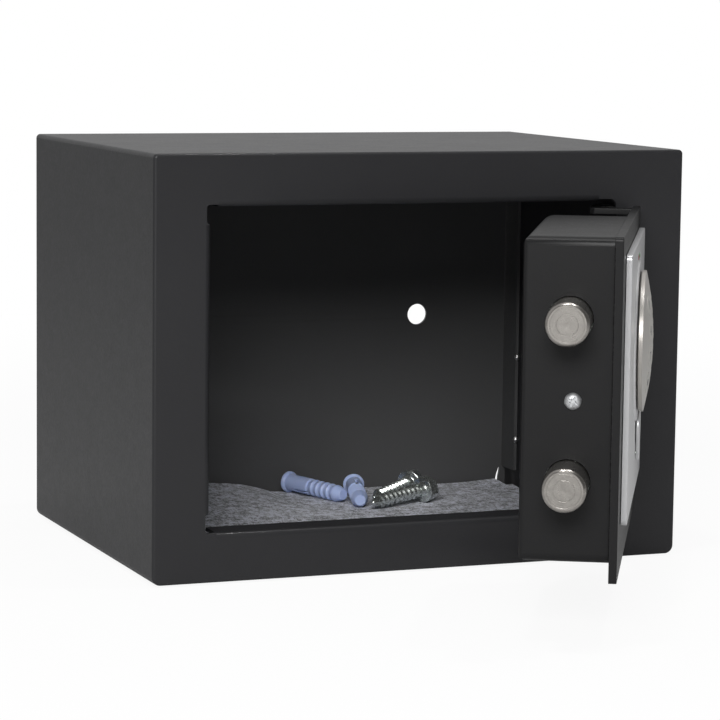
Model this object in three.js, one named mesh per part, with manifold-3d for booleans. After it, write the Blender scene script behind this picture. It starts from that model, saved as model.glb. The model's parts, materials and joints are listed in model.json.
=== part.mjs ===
import * as THREE from "three";
import { mergeVertices } from "three/addons/utils/BufferGeometryUtils.js";
import Module from "manifold-3d";

const wasm = await Module();
wasm.setup();

// Sizes in millimetres. X runs right, Y to the back and Z up. The front face is Y = 0 while the
// pieces are drawn; the finished group moves forward so that the origin is under the body's middle.
const GAP = 0.3;
const SLIDE_GAP = 0.35;

// Body
const BODY_WIDTH = 230;
const BODY_DEPTH = 170;
const BODY_HEIGHT = 170;
const SHEET = 1.5;
const BOTTOM_BEND = 3.6;
const TOP_BEND = 1.8;
const BORDER_LEFT = 23;
const BORDER_RIGHT = 30.5;
const BORDER_HIGH = 20;
const OPENING_CORNER = 3;
const LIP_BEND = 2.6;
const LONG_FLANGE = 14;
const SIDE_FLANGE = 8;
const FLANGE_RELIEF = 8;
const LEFT_CORNER_RELIEF = 3.6;
const FLOOR_HOLE = 9.6;
const FLOOR_HOLE_SPACING = 134;
const FLOOR_HOLE_BACK = 92;
const BACK_HOLE = 9.6;
const BACK_HOLE_SPACING = 134;
const BACK_HOLE_HEIGHT = 85.5;
const BACK_SET_IN = 0.4;
const BACK_FLANGE = 13;
const BACK_NOTCH_WIDTH = 3.6;
const BACK_NOTCH_HEIGHT = 10;
const MAT_THICKNESS = 3.8;
const MAT_MARGIN = 0.6;
const MAT_END_MARGIN = 2;

// Hinge
const PIVOT_IN = 23;
const PIVOT_BACK = 6.5;
const DOOR_OPEN = 61;
const PIN = 4;
const PIN_HEAD = 7;
const PIN_HEAD_HEIGHT = 1.4;
const PIN_CLEARANCE = 0.3;
const ARM_THICKNESS = 2.3;
const ARM_SET_DOWN = 1;
const ARM_EYE = 9;
const ARM_SLOT_MARGIN = 0.7;
const ARM_LEFT = 18;
const ARM_RIGHT = 8;
const ARM_BACK = 14;
const ARM_WEB_ANGLE = 94;
const ARM_CHAMFER = 2;
const BRACKET_THICKNESS = 2;
const BRACKET_GAP = 0.6;
const BRACKET_LEG = 14;
const BRACKET_DEPTH = 18;
const BRACKET_OVERHANG = 6;

// Door plate and lock housing
const DOOR_SIDE_GAP = 3;
const DOOR_HIGH_GAP = 2.5;
const DOOR_THICKNESS = 3;
const DOOR_CORNER = 1.6;
const HOUSING_SET_IN = 4.5;
const HOUSING_LENGTH = 111.5;
const HOUSING_RISE = 6.5;
const HOUSING_TOP_STEP = 0.5;
const HOUSING_BACK = 36;
const HOUSING_SHEET = 1.5;
const HOUSING_BEND = 2.4;
const TAPER_LENGTH = 19;
const TAPER_DROP = 5;
const SCREW_SHANK = 3.2;
const SCREW_HEAD = 6.2;
const SCREW_HEAD_HEIGHT = 1.9;
const SCREW_LENGTH = 8;
const SCREW_BACK = 17.2;
const SCREW_SLOT = 0.8;
const TAB_THICKNESS = 1.5;
const TAB_HEIGHT = 16;
const TAB_FOOT = 9;

// Bolt work
const BOLT = 16;
const BOLT_CHAMFER = 1.4;
const BOLT_BACK = 18.7;
const BOLT_SPACING = 59;
const BOLT_THROW = 18;
const BOLT_PROTRUSION = 20;
const BOLT_LENGTH = 32;
const BAR_THICKNESS = 3;
const BAR_EXTRA = 8.5;
const BAR_FRONT_EXTRA = 1.2;
const YOKE_THICKNESS = 2;
const YOKE_RIM = 4;
const YOKE_PLAY = 0.6;
const KNOB_TURN = 90;
const HALF_TURN = THREE.MathUtils.degToRad(KNOB_TURN / 2);
const CRANK_RADIUS = BOLT_THROW / 2 / Math.sin(HALF_TURN);
const CRANK_THICKNESS = 2.5;
const CRANK_PIN = 4;
const CRANK_RIM = 1.8;
const CRANK_HUB = 15;
const LUG_END = -30;
const CRANK_PIN_PROUD = 0.6;
const CRANK_YOKE_GAP = 2;
const SPINDLE = 8;
const SPINDLE_BORE = 3.6;
const SPINDLE_PLAY = 0.5;

// Control panel and knob, seen from the front of the closed door
const PANEL_SET_IN = 21;
const PANEL_WIDTH = 137;
const PANEL_LOW_MARGIN = 17.8;
const PANEL_HIGH_MARGIN = 8;
const PANEL_FRONT = 2.5;
const PANEL_CORNER = 2;
const PANEL_EDGE = 0.4;
const BOSS = 57;
const BOSS_HEIGHT = 0.6;
const KNOB_FROM_HOUSING_END = 28;
const KNOB_ABOVE_MIDDLE = 13;
const KNOB = 54.4;
const KNOB_GAP = 0.4;
const KNOB_RIM = 2;
const KNOB_CROWN = 3.1;
const KEY = 7.8;
const KEY_CLEARANCE = 0.3;
const KEY_PITCH_X = 11;
const KEY_PITCH_Z = 9.8;
const KEY_COLUMNS = 3;
const KEY_ROWS = 4;
const KEY_TRAVEL = 0.8;
const KEY_PROUD = 0.25;
const KEY_FLOOR = 1.4;
const LAMP = 3;
const LAMP_PITCH = 9;
const LAMP_DROP = 6;
const LAMP_LENGTH = 2;

// Emergency lock
const LOCK_FROM_KNOB_X = 12;
const LOCK_FROM_KNOB_Z = 35;
const LOCK_BODY = 14;
const LOCK_PLUG = 9;
const LOCK_END = 22;
const KEYWAY_WIDTH = 1.6;
const KEYWAY_HEIGHT = 6.5;
const KEYWAY_DEPTH = 15;
const TONGUE_THICKNESS = 2;
const TONGUE_HEIGHT = 2.5;
const TONGUE_LAP = 1.3;
const COVER = 16.4;
const COVER_THICKNESS = 1.2;
const COVER_EAR = 5.6;
const COVER_DROP = 10.5;
const COVER_PIN = 2;

// Latch solenoid, electronics and batteries
const COIL_WIDTH = 12;
const COIL_DEPTH = 14.4;
const COIL_HEIGHT = 11;
const COIL_TOP_GAP = 1.5;
const PLUNGER = 5;
const PLUNGER_TRAVEL = 5;
const PLUNGER_TIP_GAP = 0.8;
const COLLAR = 9;
const COLLAR_THICKNESS = 2;
const COLLAR_TAIL = 2.5;
const COIL_SHELF = 1.4;
const BOARD_WIDTH = 38;
const BOARD_HEIGHT = 38;
const BOARD_THICKNESS = 1.6;
const BOARD_STANDOFF = 2;
const BOARD_KNOB_GAP = 21;
const BOARD_TOP_GAP = 3.5;
const BOARD_PARTS_HEIGHT = 1.8;
const CELL = 14.2;
const CELL_LENGTH = 49.2;
const CELL_NUB = 5.4;
const CELL_NUB_HEIGHT = 1.2;
const CELL_PITCH = 14.6;
const BOX_WALL = 1.1;
const BOX_GAP = 1.1;
const BATTERY_DOOR_WIDTH = 25;
const BATTERY_DOOR_HEIGHT = 46;
const RESET_CAP = 6;
const RESET_STEM = 3;
const RESET_RIGHT = 49.5;
const RESET_YOKE_GAP = 6.2;
const RESET_PROUD = 0.9;
const RESET_TRAVEL = 1;

// Loose fixings lying on the mat
const PLUG = 7.6;
const PLUG_COLLAR = 9.6;
const PLUG_COLLAR_THICKNESS = 1.2;
const PLUG_LENGTH = 38;
const PLUG_BORE = 4.2;
const PLUG_BORE_DEPTH = 30;
const PLUG_SLIT = 1;
const PLUG_RIBS = 5;
const PLUG_RIB_PITCH = 3.6;
const PLUG_LAST_RIB = 34;
const PLUG_TIP = 4.8;
const LAG_SHANK = 6.2;
const LAG_ROOT = 4.6;
const LAG_LENGTH = 34;
const LAG_PITCH = 2.8;
const LAG_POINT = 5;
const LAG_NECK = 5;
const LAG_WASHER = 12;
const LAG_WASHER_THICKNESS = 1.3;
const LAG_HEX = 10;
const LAG_HEX_HEIGHT = 4.6;
const PLUG_1_RIGHT = 2;
const PLUG_1_FROM_BACK = 7;
const PLUG_1_TURN = -69.7;
const PLUG_2_RIGHT = 28;
const PLUG_2_FROM_BACK = 22.5;
const PLUG_2_TURN = -107;
const LAG_1_RIGHT = 50.7;
const LAG_1_FROM_BACK = 51;
const LAG_1_TURN = 203.3;
const LAG_2_RIGHT = 52;
const LAG_2_FROM_BACK = 31;
const LAG_2_TURN = 218.8;

const STEPS = 32;
const FEW_STEPS = 16;
const BEND_STEPS = 4;

// Places that follow from the sizes
const INNER_HALF = BODY_WIDTH / 2 - SHEET;
const OPENING_LEFT = BORDER_LEFT - BODY_WIDTH / 2;
const OPENING_RIGHT = BODY_WIDTH / 2 - BORDER_RIGHT;
const OPENING_BOTTOM = BORDER_HIGH;
const OPENING_TOP = BODY_HEIGHT - BORDER_HIGH;
const PIVOT_X = BODY_WIDTH / 2 - PIVOT_IN;
const DOOR_LEFT = OPENING_LEFT + DOOR_SIDE_GAP;
const DOOR_RIGHT = OPENING_RIGHT - DOOR_SIDE_GAP;
const DOOR_BOTTOM = OPENING_BOTTOM + DOOR_HIGH_GAP;
const DOOR_TOP = OPENING_TOP - DOOR_HIGH_GAP;
const ARM_TOP = DOOR_TOP - ARM_SET_DOWN;
const HOUSING_LEFT = DOOR_LEFT + HOUSING_SET_IN;
const HOUSING_RIGHT = HOUSING_LEFT + HOUSING_LENGTH;
const HOUSING_BOTTOM = DOOR_BOTTOM + HOUSING_RISE;
const HOUSING_TOP = DOOR_TOP - HOUSING_TOP_STEP;
const HOUSING_MIDDLE = (HOUSING_BOTTOM + HOUSING_TOP) / 2;
const HOUSING_FRONT = DOOR_THICKNESS + GAP;
const INSIDE_LEFT = HOUSING_LEFT + HOUSING_SHEET;
const INSIDE_RIGHT = HOUSING_RIGHT - HOUSING_SHEET;
const BOLT_END = HOUSING_LEFT - BOLT_PROTRUSION;
const BAR_LEFT = BOLT_END + BOLT_LENGTH + GAP;
const BAR_RIGHT = BAR_LEFT + BAR_THICKNESS;
const BAR_FRONT = BOLT_BACK - BOLT / 2 - BAR_FRONT_EXTRA;
const YOKE_FRONT = BOLT_BACK + BOLT / 2 - HOUSING_SHEET + GAP * 2;
const YOKE_BACK = YOKE_FRONT + YOKE_THICKNESS;
const CRANK_BACK = YOKE_FRONT - CRANK_YOKE_GAP;
const CRANK_FRONT = CRANK_BACK - CRANK_THICKNESS;
const CRANK_REACH = CRANK_RADIUS + CRANK_PIN / 2 + CRANK_RIM;
const KNOB_X = HOUSING_RIGHT - KNOB_FROM_HOUSING_END;
const KNOB_Z = HOUSING_MIDDLE + KNOB_ABOVE_MIDDLE;
const KNOB_REAR = -(PANEL_FRONT + BOSS_HEIGHT + KNOB_GAP);
const KNOB_SHOULDER = KNOB_REAR - KNOB_RIM;
const KNOB_FRONT = KNOB_SHOULDER - KNOB_CROWN;
const PANEL_LEFT = DOOR_LEFT + PANEL_SET_IN;
const PANEL_BOTTOM = DOOR_BOTTOM + PANEL_LOW_MARGIN;
const PANEL_TOP = DOOR_TOP - PANEL_HIGH_MARGIN;
const YOKE_REACH = CRANK_PIN / 2 + YOKE_PLAY;
const YOKE_TOP = KNOB_Z + CRANK_RADIUS + YOKE_REACH + YOKE_RIM;
const RESET_X = HOUSING_LEFT + RESET_RIGHT;
const RESET_Z = YOKE_TOP + RESET_YOKE_GAP + RESET_STEM / 2;
const LOCK_X = KNOB_X + LOCK_FROM_KNOB_X;
const LOCK_Z = KNOB_Z - LOCK_FROM_KNOB_Z;
const PLUNGER_REST = KNOB_Z - CRANK_REACH - PLUNGER_TIP_GAP;
const COIL_TOP = KNOB_Z - CRANK_REACH - COIL_TOP_GAP;
const COIL_BOTTOM = COIL_TOP - COIL_HEIGHT;
const PLUNGER_BACK = (CRANK_FRONT + CRANK_BACK) / 2;
const COIL_FRONT = PLUNGER_BACK - COIL_DEPTH / 2;
const TONGUE_UNDER = LOCK_Z - TONGUE_HEIGHT / 2;
const COLLAR_TOP = TONGUE_UNDER - PLUNGER_TRAVEL - GAP;
const MAT_TOP = SHEET + GAP + MAT_THICKNESS;

// Finishes
function finish(color, roughness, metalness) {
  return () => new THREE.MeshStandardMaterial({ color, roughness, metalness });
}
const bodyPaint = finish(0x3b3b3d, 0.55, 0.1);
const doorPaint = finish(0x39393b, 0.5, 0.1);
const panelSilver = finish(0xb4b4b8, 0.38, 0.55);
const knobSilver = finish(0xb0aca6, 0.42, 0.5);
const boltSteel = finish(0xa8a298, 0.32, 0.95);
const zincSteel = finish(0xc3c7c2, 0.3, 0.95);
const darkSteel = finish(0x6b6c6e, 0.45, 0.85);
const greyFelt = finish(0x77777a, 0.97, 0);
const plugPlastic = finish(0xa9b4da, 0.5, 0);
const keyRubber = finish(0xb3b0aa, 0.6, 0);
const blackPlastic = finish(0x1d1e20, 0.55, 0);
const boardGreen = finish(0x1f5a3a, 0.5, 0.05);
const cellSleeve = finish(0x2f4f4a, 0.4, 0.2);
const brass = finish(0xb99a55, 0.35, 0.9);
const redLens = finish(0x8a2a2a, 0.2, 0);
const greenLens = finish(0x2c7a3c, 0.2, 0);

// Closed solids: three.js geometry in, booleans between them
function solid(geometry) {
  const bare = geometry.index ? geometry.toNonIndexed() : geometry.clone();
  bare.deleteAttribute("normal");
  bare.deleteAttribute("uv");
  const merged = mergeVertices(bare, 1e-3);
  const index = merged.index.array;
  const faces = [];
  for (let i = 0; i < index.length; i += 3) {
    const [a, b, c] = [index[i], index[i + 1], index[i + 2]];
    if (a !== b && b !== c && a !== c) faces.push([a, b, c]);
  }
  const build = (list) => {
    const mesh = new wasm.Mesh({
      numProp: 3,
      vertProperties: merged.attributes.position.array,
      triVerts: new Uint32Array(list.flat()),
    });
    return new wasm.Manifold(mesh);
  };
  const made = build(faces);
  if (made.volume() > 0) return made;
  return build(faces.map(([a, b, c]) => [a, c, b]));
}

function join(...solids) {
  return solids.reduce((sum, next) => sum.add(next));
}

function cut(base, ...tools) {
  return tools.reduce((left, tool) => left.subtract(tool), base);
}

function piece(name, shape, material) {
  const made = shape.getMesh();
  const points = new Float32Array(made.numVert * 3);
  for (let i = 0; i < made.numVert; i++) {
    const start = i * made.numProp;
    points.set(made.vertProperties.subarray(start, start + 3), i * 3);
  }
  const indexed = new THREE.BufferGeometry();
  indexed.setAttribute("position", new THREE.BufferAttribute(points, 3));
  indexed.setIndex(new THREE.BufferAttribute(made.triVerts, 1));
  const geometry = indexed.toNonIndexed();
  geometry.computeVertexNormals();
  const mesh = new THREE.Mesh(geometry, material());
  mesh.name = name;
  return mesh;
}

function block(x0, x1, y0, y1, z0, z1) {
  const geometry = new THREE.BoxGeometry(x1 - x0, y1 - y0, z1 - z0);
  geometry.translate((x0 + x1) / 2, (y0 + y1) / 2, (z0 + z1) / 2);
  return solid(geometry);
}

function basis(x, y, z) {
  return new THREE.Matrix4().makeBasis(
    new THREE.Vector3(...x),
    new THREE.Vector3(...y),
    new THREE.Vector3(...z),
  );
}

// Where the Z axis of a drawn outline or a turned body points.
const AXIS = {
  x: basis([0, 1, 0], [0, 0, 1], [1, 0, 0]),
  y: basis([-1, 0, 0], [0, 0, 1], [0, 1, 0]),
  z: new THREE.Matrix4(),
};

// A flat outline pulled along an axis. Outlines are X, Y for z; Y, Z for x; and X, Z for y.
function prism(outline, axis, from, to, options = {}) {
  const settings = { depth: to - from, bevelEnabled: false, curveSegments: 6, ...options };
  const geometry = new THREE.ExtrudeGeometry(outline, settings);
  geometry.translate(0, 0, from);
  if (axis === "y") geometry.scale(-1, 1, 1);
  geometry.applyMatrix4(AXIS[axis]);
  return solid(geometry);
}

// A turned body: pairs of radius and place along the axis.
function turned(profile, axis, centre, steps = STEPS) {
  const points = profile.map(([radius, along]) => new THREE.Vector2(radius, along));
  const geometry = new THREE.LatheGeometry(points, steps);
  geometry.rotateX(Math.PI / 2);
  geometry.applyMatrix4(AXIS[axis]);
  geometry.translate(...centre);
  return solid(geometry);
}

// A round rod between two places on an axis that passes through the centre given.
function rod(diameter, axis, from, to, centre, steps = STEPS) {
  const radius = diameter / 2;
  return turned([[0, from], [radius, from], [radius, to], [0, to]], axis, centre, steps);
}

function polygon(pairs) {
  return new THREE.Shape(pairs.map(([a, b]) => new THREE.Vector2(a, b)));
}

function arc(centre, radius, fromDegrees, toDegrees, steps) {
  const ring = [];
  for (let i = 0; i <= steps; i++) {
    const angle = THREE.MathUtils.degToRad(fromDegrees + ((toDegrees - fromDegrees) * i) / steps);
    ring.push([centre[0] + radius * Math.cos(angle), centre[1] + radius * Math.sin(angle)]);
  }
  return ring;
}

// A rectangle whose lower corners and upper corners each have their own radius.
function roundedRect(x0, x1, z0, z1, low, high = low) {
  return polygon([
    ...arc([x0 + low, z0 + low], low, 180, 270, BEND_STEPS),
    ...arc([x1 - low, z0 + low], low, 270, 360, BEND_STEPS),
    ...arc([x1 - high, z1 - high], high, 0, 90, BEND_STEPS),
    ...arc([x0 + high, z1 - high], high, 90, 180, BEND_STEPS),
  ]);
}

// Upside-down copy about the middle height of the opening.
function flipped(shape) {
  return shape.mirror([0, 0, 1]).translate([0, 0, OPENING_BOTTOM + OPENING_TOP]);
}

// Body
function lipSection(edge, outward, depth) {
  const inner = LIP_BEND - SHEET;
  const at = (along, across) => [along, edge + outward * across];
  const bend = (radius) =>
    arc([LIP_BEND, LIP_BEND], radius, 180, 270, BEND_STEPS).map(([a, b]) => at(a, b));
  return [
    at(0, LIP_BEND + GAP),
    ...bend(LIP_BEND),
    at(depth, 0),
    at(depth, SHEET),
    ...bend(inner).reverse(),
    at(SHEET, LIP_BEND + GAP),
  ];
}

function bodyShell() {
  const half = BODY_WIDTH / 2;
  const outside = roundedRect(-half, half, 0, BODY_HEIGHT, BOTTOM_BEND, TOP_BEND);
  const inside = roundedRect(
    -INNER_HALF,
    INNER_HALF,
    SHEET,
    BODY_HEIGHT - SHEET,
    BOTTOM_BEND - SHEET,
    TOP_BEND - SHEET,
  );
  const opening = roundedRect(
    OPENING_LEFT,
    OPENING_RIGHT,
    OPENING_BOTTOM,
    OPENING_TOP,
    OPENING_CORNER,
  );
  let shell = prism(outside, "y", 0, BODY_DEPTH);
  shell = cut(shell, prism(inside, "y", SHEET, BODY_DEPTH + 1), prism(opening, "y", -1, SHEET + 1));
  const left = OPENING_LEFT + LEFT_CORNER_RELIEF;
  const right = OPENING_RIGHT - FLANGE_RELIEF;
  const low = OPENING_BOTTOM + FLANGE_RELIEF;
  const high = OPENING_TOP - FLANGE_RELIEF;
  const through = [-1, SHEET + 1];
  shell = cut(
    shell,
    block(left, right, ...through, OPENING_TOP - 1, OPENING_TOP + LIP_BEND),
    block(left, right, ...through, OPENING_BOTTOM - LIP_BEND, OPENING_BOTTOM + 1),
    block(OPENING_LEFT - LIP_BEND, OPENING_LEFT + 1, ...through, low, high),
  );
  const topLip = prism(polygon(lipSection(OPENING_TOP, 1, LONG_FLANGE)), "x", left, right);
  const bottomLip = prism(polygon(lipSection(OPENING_BOTTOM, -1, LONG_FLANGE)), "x", left, right);
  const sideSection = lipSection(OPENING_LEFT, -1, SIDE_FLANGE).map(([y, x]) => [x, y]);
  const sideLip = prism(polygon(sideSection), "z", low, high);
  shell = join(shell, topLip, bottomLip, sideLip);
  for (const side of [-1, 1]) {
    const centre = [(side * FLOOR_HOLE_SPACING) / 2, FLOOR_HOLE_BACK, 0];
    shell = cut(shell, rod(FLOOR_HOLE, "z", -1, SHEET + 1, centre, FEW_STEPS * 2));
  }
  return piece("body_shell", shell, bodyPaint);
}

function backPanel() {
  const half = INNER_HALF - GAP;
  const low = SHEET + GAP;
  const high = BODY_HEIGHT - SHEET - GAP;
  const back = BODY_DEPTH - BACK_SET_IN;
  const front = back - SHEET - BACK_FLANGE;
  let panel = cut(
    block(-half, half, front, back, low, high),
    block(-half + SHEET, half - SHEET, front - 1, back - SHEET, low - 1, high - SHEET),
  );
  for (const side of [-1, 1]) {
    const edge = side * half;
    const inner = side * (half - BACK_NOTCH_WIDTH);
    const [x0, x1] = [Math.min(edge, inner), Math.max(edge, inner)];
    const hole = rod(BACK_HOLE, "y", back - SHEET - 1, back + 1, [
      (side * BACK_HOLE_SPACING) / 2,
      0,
      BACK_HOLE_HEIGHT,
    ]);
    panel = cut(
      panel,
      hole,
      block(x0 - GAP, x1 + GAP, front - 1, back + 1, low - 1, low + BACK_NOTCH_HEIGHT),
      block(x0 - GAP, x1 + GAP, front - 1, back + 1, high - BACK_NOTCH_HEIGHT, high + 1),
    );
  }
  return piece("back_panel", panel, bodyPaint);
}

function floorMat() {
  const half = INNER_HALF - MAT_MARGIN - BOTTOM_BEND + SHEET;
  const narrow = half - BACK_NOTCH_WIDTH + GAP;
  const front = SHEET + MAT_END_MARGIN;
  const back = BODY_DEPTH - BACK_SET_IN - SHEET - MAT_END_MARGIN;
  const step = back - BACK_FLANGE;
  const outline = polygon([
    [-half, front],
    [half, front],
    [half, step],
    [narrow, step],
    [narrow, back],
    [-narrow, back],
    [-narrow, step],
    [-half, step],
  ]);
  return piece("floor_mat", prism(outline, "z", SHEET + GAP, MAT_TOP), greyFelt);
}

// Hinge brackets and pins, fixed to the body behind the right-hand border
function upperBracket() {
  const left = PIVOT_X - BRACKET_OVERHANG;
  const right = INNER_HALF - GAP;
  const front = SHEET + GAP;
  const low = ARM_TOP + BRACKET_GAP;
  const high = low + BRACKET_THICKNESS;
  const back = front + BRACKET_DEPTH;
  const leg = block(right - BRACKET_THICKNESS, right, front, back, high - BRACKET_LEG, high);
  const hole = rod(PIN + 2 * PIN_CLEARANCE, "z", low - 1, high + 1, [PIVOT_X, PIVOT_BACK, 0]);
  return cut(join(block(left, right, front, back, low, high), leg), hole);
}

function upperPin() {
  const bracketTop = ARM_TOP + BRACKET_GAP + BRACKET_THICKNESS;
  const headLow = bracketTop + GAP;
  const headHigh = headLow + PIN_HEAD_HEIGHT;
  const tip = ARM_TOP - ARM_THICKNESS - BRACKET_GAP;
  const profile = [
    [0, tip],
    [PIN / 2, tip],
    [PIN / 2, headLow],
    [PIN_HEAD / 2, headLow],
    [PIN_HEAD / 2, headHigh],
    [0, headHigh],
  ];
  return turned(profile, "z", [PIVOT_X, PIVOT_BACK, 0], FEW_STEPS);
}

// Gooseneck: the arm reaches back round the border's edge, whose swept ring the slot leaves free.
function upperArm() {
  const front = HOUSING_FRONT - PIVOT_BACK;
  const edge = PIVOT_X - OPENING_RIGHT;
  const slot = Math.hypot(edge, PIVOT_BACK) + ARM_SLOT_MARGIN;
  const mouth = 180 + THREE.MathUtils.radToDeg(Math.asin(-front / slot));
  const eye = ARM_EYE / 2;
  const outline = [
    [-ARM_LEFT, front],
    ...arc([0, 0], slot, mouth, ARM_WEB_ANGLE, FEW_STEPS),
    ...arc([0, 0], eye, ARM_WEB_ANGLE, 270, FEW_STEPS),
    [ARM_RIGHT, front],
    [ARM_RIGHT, ARM_BACK - ARM_CHAMFER],
    [ARM_RIGHT - ARM_CHAMFER, ARM_BACK],
    [-ARM_LEFT + ARM_CHAMFER, ARM_BACK],
    [-ARM_LEFT, ARM_BACK - ARM_CHAMFER],
  ].map(([x, y]) => [PIVOT_X + x, PIVOT_BACK + y]);
  const low = ARM_TOP - ARM_THICKNESS;
  const hole = rod(PIN + 2 * PIN_CLEARANCE, "z", low - 1, ARM_TOP + 1, [PIVOT_X, PIVOT_BACK, 0]);
  return cut(prism(polygon(outline), "z", low, ARM_TOP), hole);
}

// Door
function doorPlate() {
  const outline = roundedRect(DOOR_LEFT, DOOR_RIGHT, DOOR_BOTTOM, DOOR_TOP, DOOR_CORNER);
  const through = [-1, DOOR_THICKNESS + 1];
  const plate = cut(
    prism(outline, "y", 0, DOOR_THICKNESS),
    rod(SPINDLE + 2 * SPINDLE_PLAY, "y", ...through, [KNOB_X, 0, KNOB_Z]),
    rod(LOCK_BODY + 2 * SLIDE_GAP, "y", ...through, [LOCK_X, 0, LOCK_Z]),
  );
  return piece("door_plate", plate, doorPaint);
}

// The folded housing's outside, or its inside when the inset is the sheet's thickness.
function housingBlock(inset) {
  const left = HOUSING_LEFT + inset;
  const right = HOUSING_RIGHT - inset;
  const low = HOUSING_BOTTOM + inset;
  const high = HOUSING_TOP - inset;
  const back = HOUSING_BACK - inset;
  const front = inset > 0 ? 0 : HOUSING_FRONT;
  const bend = HOUSING_BEND - inset;
  const plan = polygon([
    [left, front],
    [right, front],
    [right, back - TAPER_DROP],
    [right - TAPER_LENGTH, back],
    ...arc([left + bend, back - bend], bend, 90, 180, BEND_STEPS),
  ]);
  const side = polygon([
    [front, low],
    ...arc([back - bend, low + bend], bend, 270, 360, BEND_STEPS),
    ...arc([back - bend, high - bend], bend, 0, 90, BEND_STEPS),
    [front, high],
  ]);
  const face = roundedRect(left, right, low, high, bend);
  return prism(plan, "z", low, high)
    .intersect(prism(side, "x", left, right))
    .intersect(prism(face, "y", front, back));
}

function batteryDoorSpan(margin) {
  const [x, z] = batteryCentre();
  const halfWidth = BATTERY_DOOR_WIDTH / 2 + margin;
  const halfHeight = BATTERY_DOOR_HEIGHT / 2 + margin;
  return [x - halfWidth, x + halfWidth, z - halfHeight, z + halfHeight];
}

function lockHousing() {
  let housing = cut(housingBlock(0), housingBlock(HOUSING_SHEET));
  const wall = [HOUSING_LEFT - 1, INSIDE_LEFT + 1];
  for (const side of [-1, 1]) {
    const centre = [0, BOLT_BACK, HOUSING_MIDDLE + (side * BOLT_SPACING) / 2];
    housing = cut(housing, rod(BOLT + 2 * SLIDE_GAP, "x", ...wall, centre));
  }
  const screwHole = [0, SCREW_BACK, HOUSING_MIDDLE];
  const shank = SCREW_SHANK + 2 * GAP;
  const [x0, x1, z0, z1] = batteryDoorSpan(GAP);
  const reset = [RESET_X, 0, RESET_Z];
  housing = cut(
    housing,
    rod(shank, "x", ...wall, screwHole, FEW_STEPS),
    rod(shank, "x", INSIDE_RIGHT - 1, HOUSING_RIGHT + 1, screwHole, FEW_STEPS),
    block(x0, x1, HOUSING_BACK - HOUSING_SHEET - 1, HOUSING_BACK + 1, z0, z1),
    rod(RESET_CAP + 2 * GAP, "y", HOUSING_BACK - HOUSING_SHEET - 1, HOUSING_BACK + 1, reset),
  );
  return piece("lock_housing", housing, doorPaint);
}

// A pan-head screw along X whose head lies to the left when the direction is 1.
function panScrew(name, seat, direction) {
  const head = SCREW_HEAD / 2;
  const top = -SCREW_HEAD_HEIGHT;
  const profile = [
    [0, top],
    [head * 0.55, top],
    [head * 0.88, top * 0.62],
    [head, 0],
    [SCREW_SHANK / 2, 0],
    [SCREW_SHANK / 2, SCREW_LENGTH - 1],
    [SCREW_SHANK / 2 - 0.8, SCREW_LENGTH],
    [0, SCREW_LENGTH],
  ].map(([radius, along]) => [radius, direction * along]);
  const centre = [seat, SCREW_BACK, HOUSING_MIDDLE];
  const far = seat + direction * (top - 1);
  const near = seat + direction * top * 0.45;
  const [x0, x1] = [Math.min(far, near), Math.max(far, near)];
  const arm = SCREW_HEAD * 0.32;
  const half = SCREW_SLOT / 2;
  const screw = cut(
    turned(profile, "x", centre, FEW_STEPS),
    block(x0, x1, SCREW_BACK - arm, SCREW_BACK + arm, HOUSING_MIDDLE - half, HOUSING_MIDDLE + half),
    block(x0, x1, SCREW_BACK - half, SCREW_BACK + half, HOUSING_MIDDLE - arm, HOUSING_MIDDLE + arm),
  );
  return piece(name, screw, zincSteel);
}

function boltGuide() {
  const left = INSIDE_LEFT + GAP;
  const low = HOUSING_BOTTOM + HOUSING_BEND + GAP;
  const high = HOUSING_TOP - HOUSING_BEND - GAP;
  const back = HOUSING_BACK - HOUSING_SHEET - HOUSING_BEND;
  const foot = block(left, left + TAB_FOOT, HOUSING_FRONT, HOUSING_FRONT + TAB_THICKNESS, low, high);
  let guide = join(block(left, left + TAB_THICKNESS, HOUSING_FRONT, back, low, high), foot);
  const span = [left - 1, left + TAB_THICKNESS + 1];
  for (const side of [-1, 1]) {
    const centre = [0, BOLT_BACK, HOUSING_MIDDLE + (side * BOLT_SPACING) / 2];
    guide = cut(guide, rod(BOLT + 2 * SLIDE_GAP, "x", ...span, centre));
  }
  const hole = rod(SCREW_SHANK + 2 * GAP, "x", ...span, [0, SCREW_BACK, HOUSING_MIDDLE], FEW_STEPS);
  return piece("bolt_guide", cut(guide, hole), zincSteel);
}

function housingTab() {
  const right = INSIDE_RIGHT - GAP;
  const low = HOUSING_MIDDLE - TAB_HEIGHT / 2;
  const high = low + TAB_HEIGHT;
  const back = SCREW_BACK + TAB_HEIGHT / 2;
  const foot = block(right - TAB_FOOT, right, HOUSING_FRONT, HOUSING_FRONT + TAB_THICKNESS, low, high);
  const tab = join(block(right - TAB_THICKNESS, right, HOUSING_FRONT, back, low, high), foot);
  const span = [right - TAB_THICKNESS - 1, right + 1];
  const hole = rod(SCREW_SHANK + 2 * GAP, "x", ...span, [0, SCREW_BACK, HOUSING_MIDDLE], FEW_STEPS);
  return piece("housing_tab", cut(tab, hole), zincSteel);
}

// Bolt work: two bolts on one bar, drawn by a crank pin in the bar's upright slot
function bolt(name, side) {
  const radius = BOLT / 2;
  const end = BOLT_END + BOLT_LENGTH;
  const profile = [
    [0, BOLT_END],
    [radius - BOLT_CHAMFER, BOLT_END],
    [radius, BOLT_END + BOLT_CHAMFER],
    [radius, end],
    [0, end],
  ];
  const centre = [0, BOLT_BACK, HOUSING_MIDDLE + (side * BOLT_SPACING) / 2];
  return piece(name, turned(profile, "x", centre), boltSteel);
}

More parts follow.
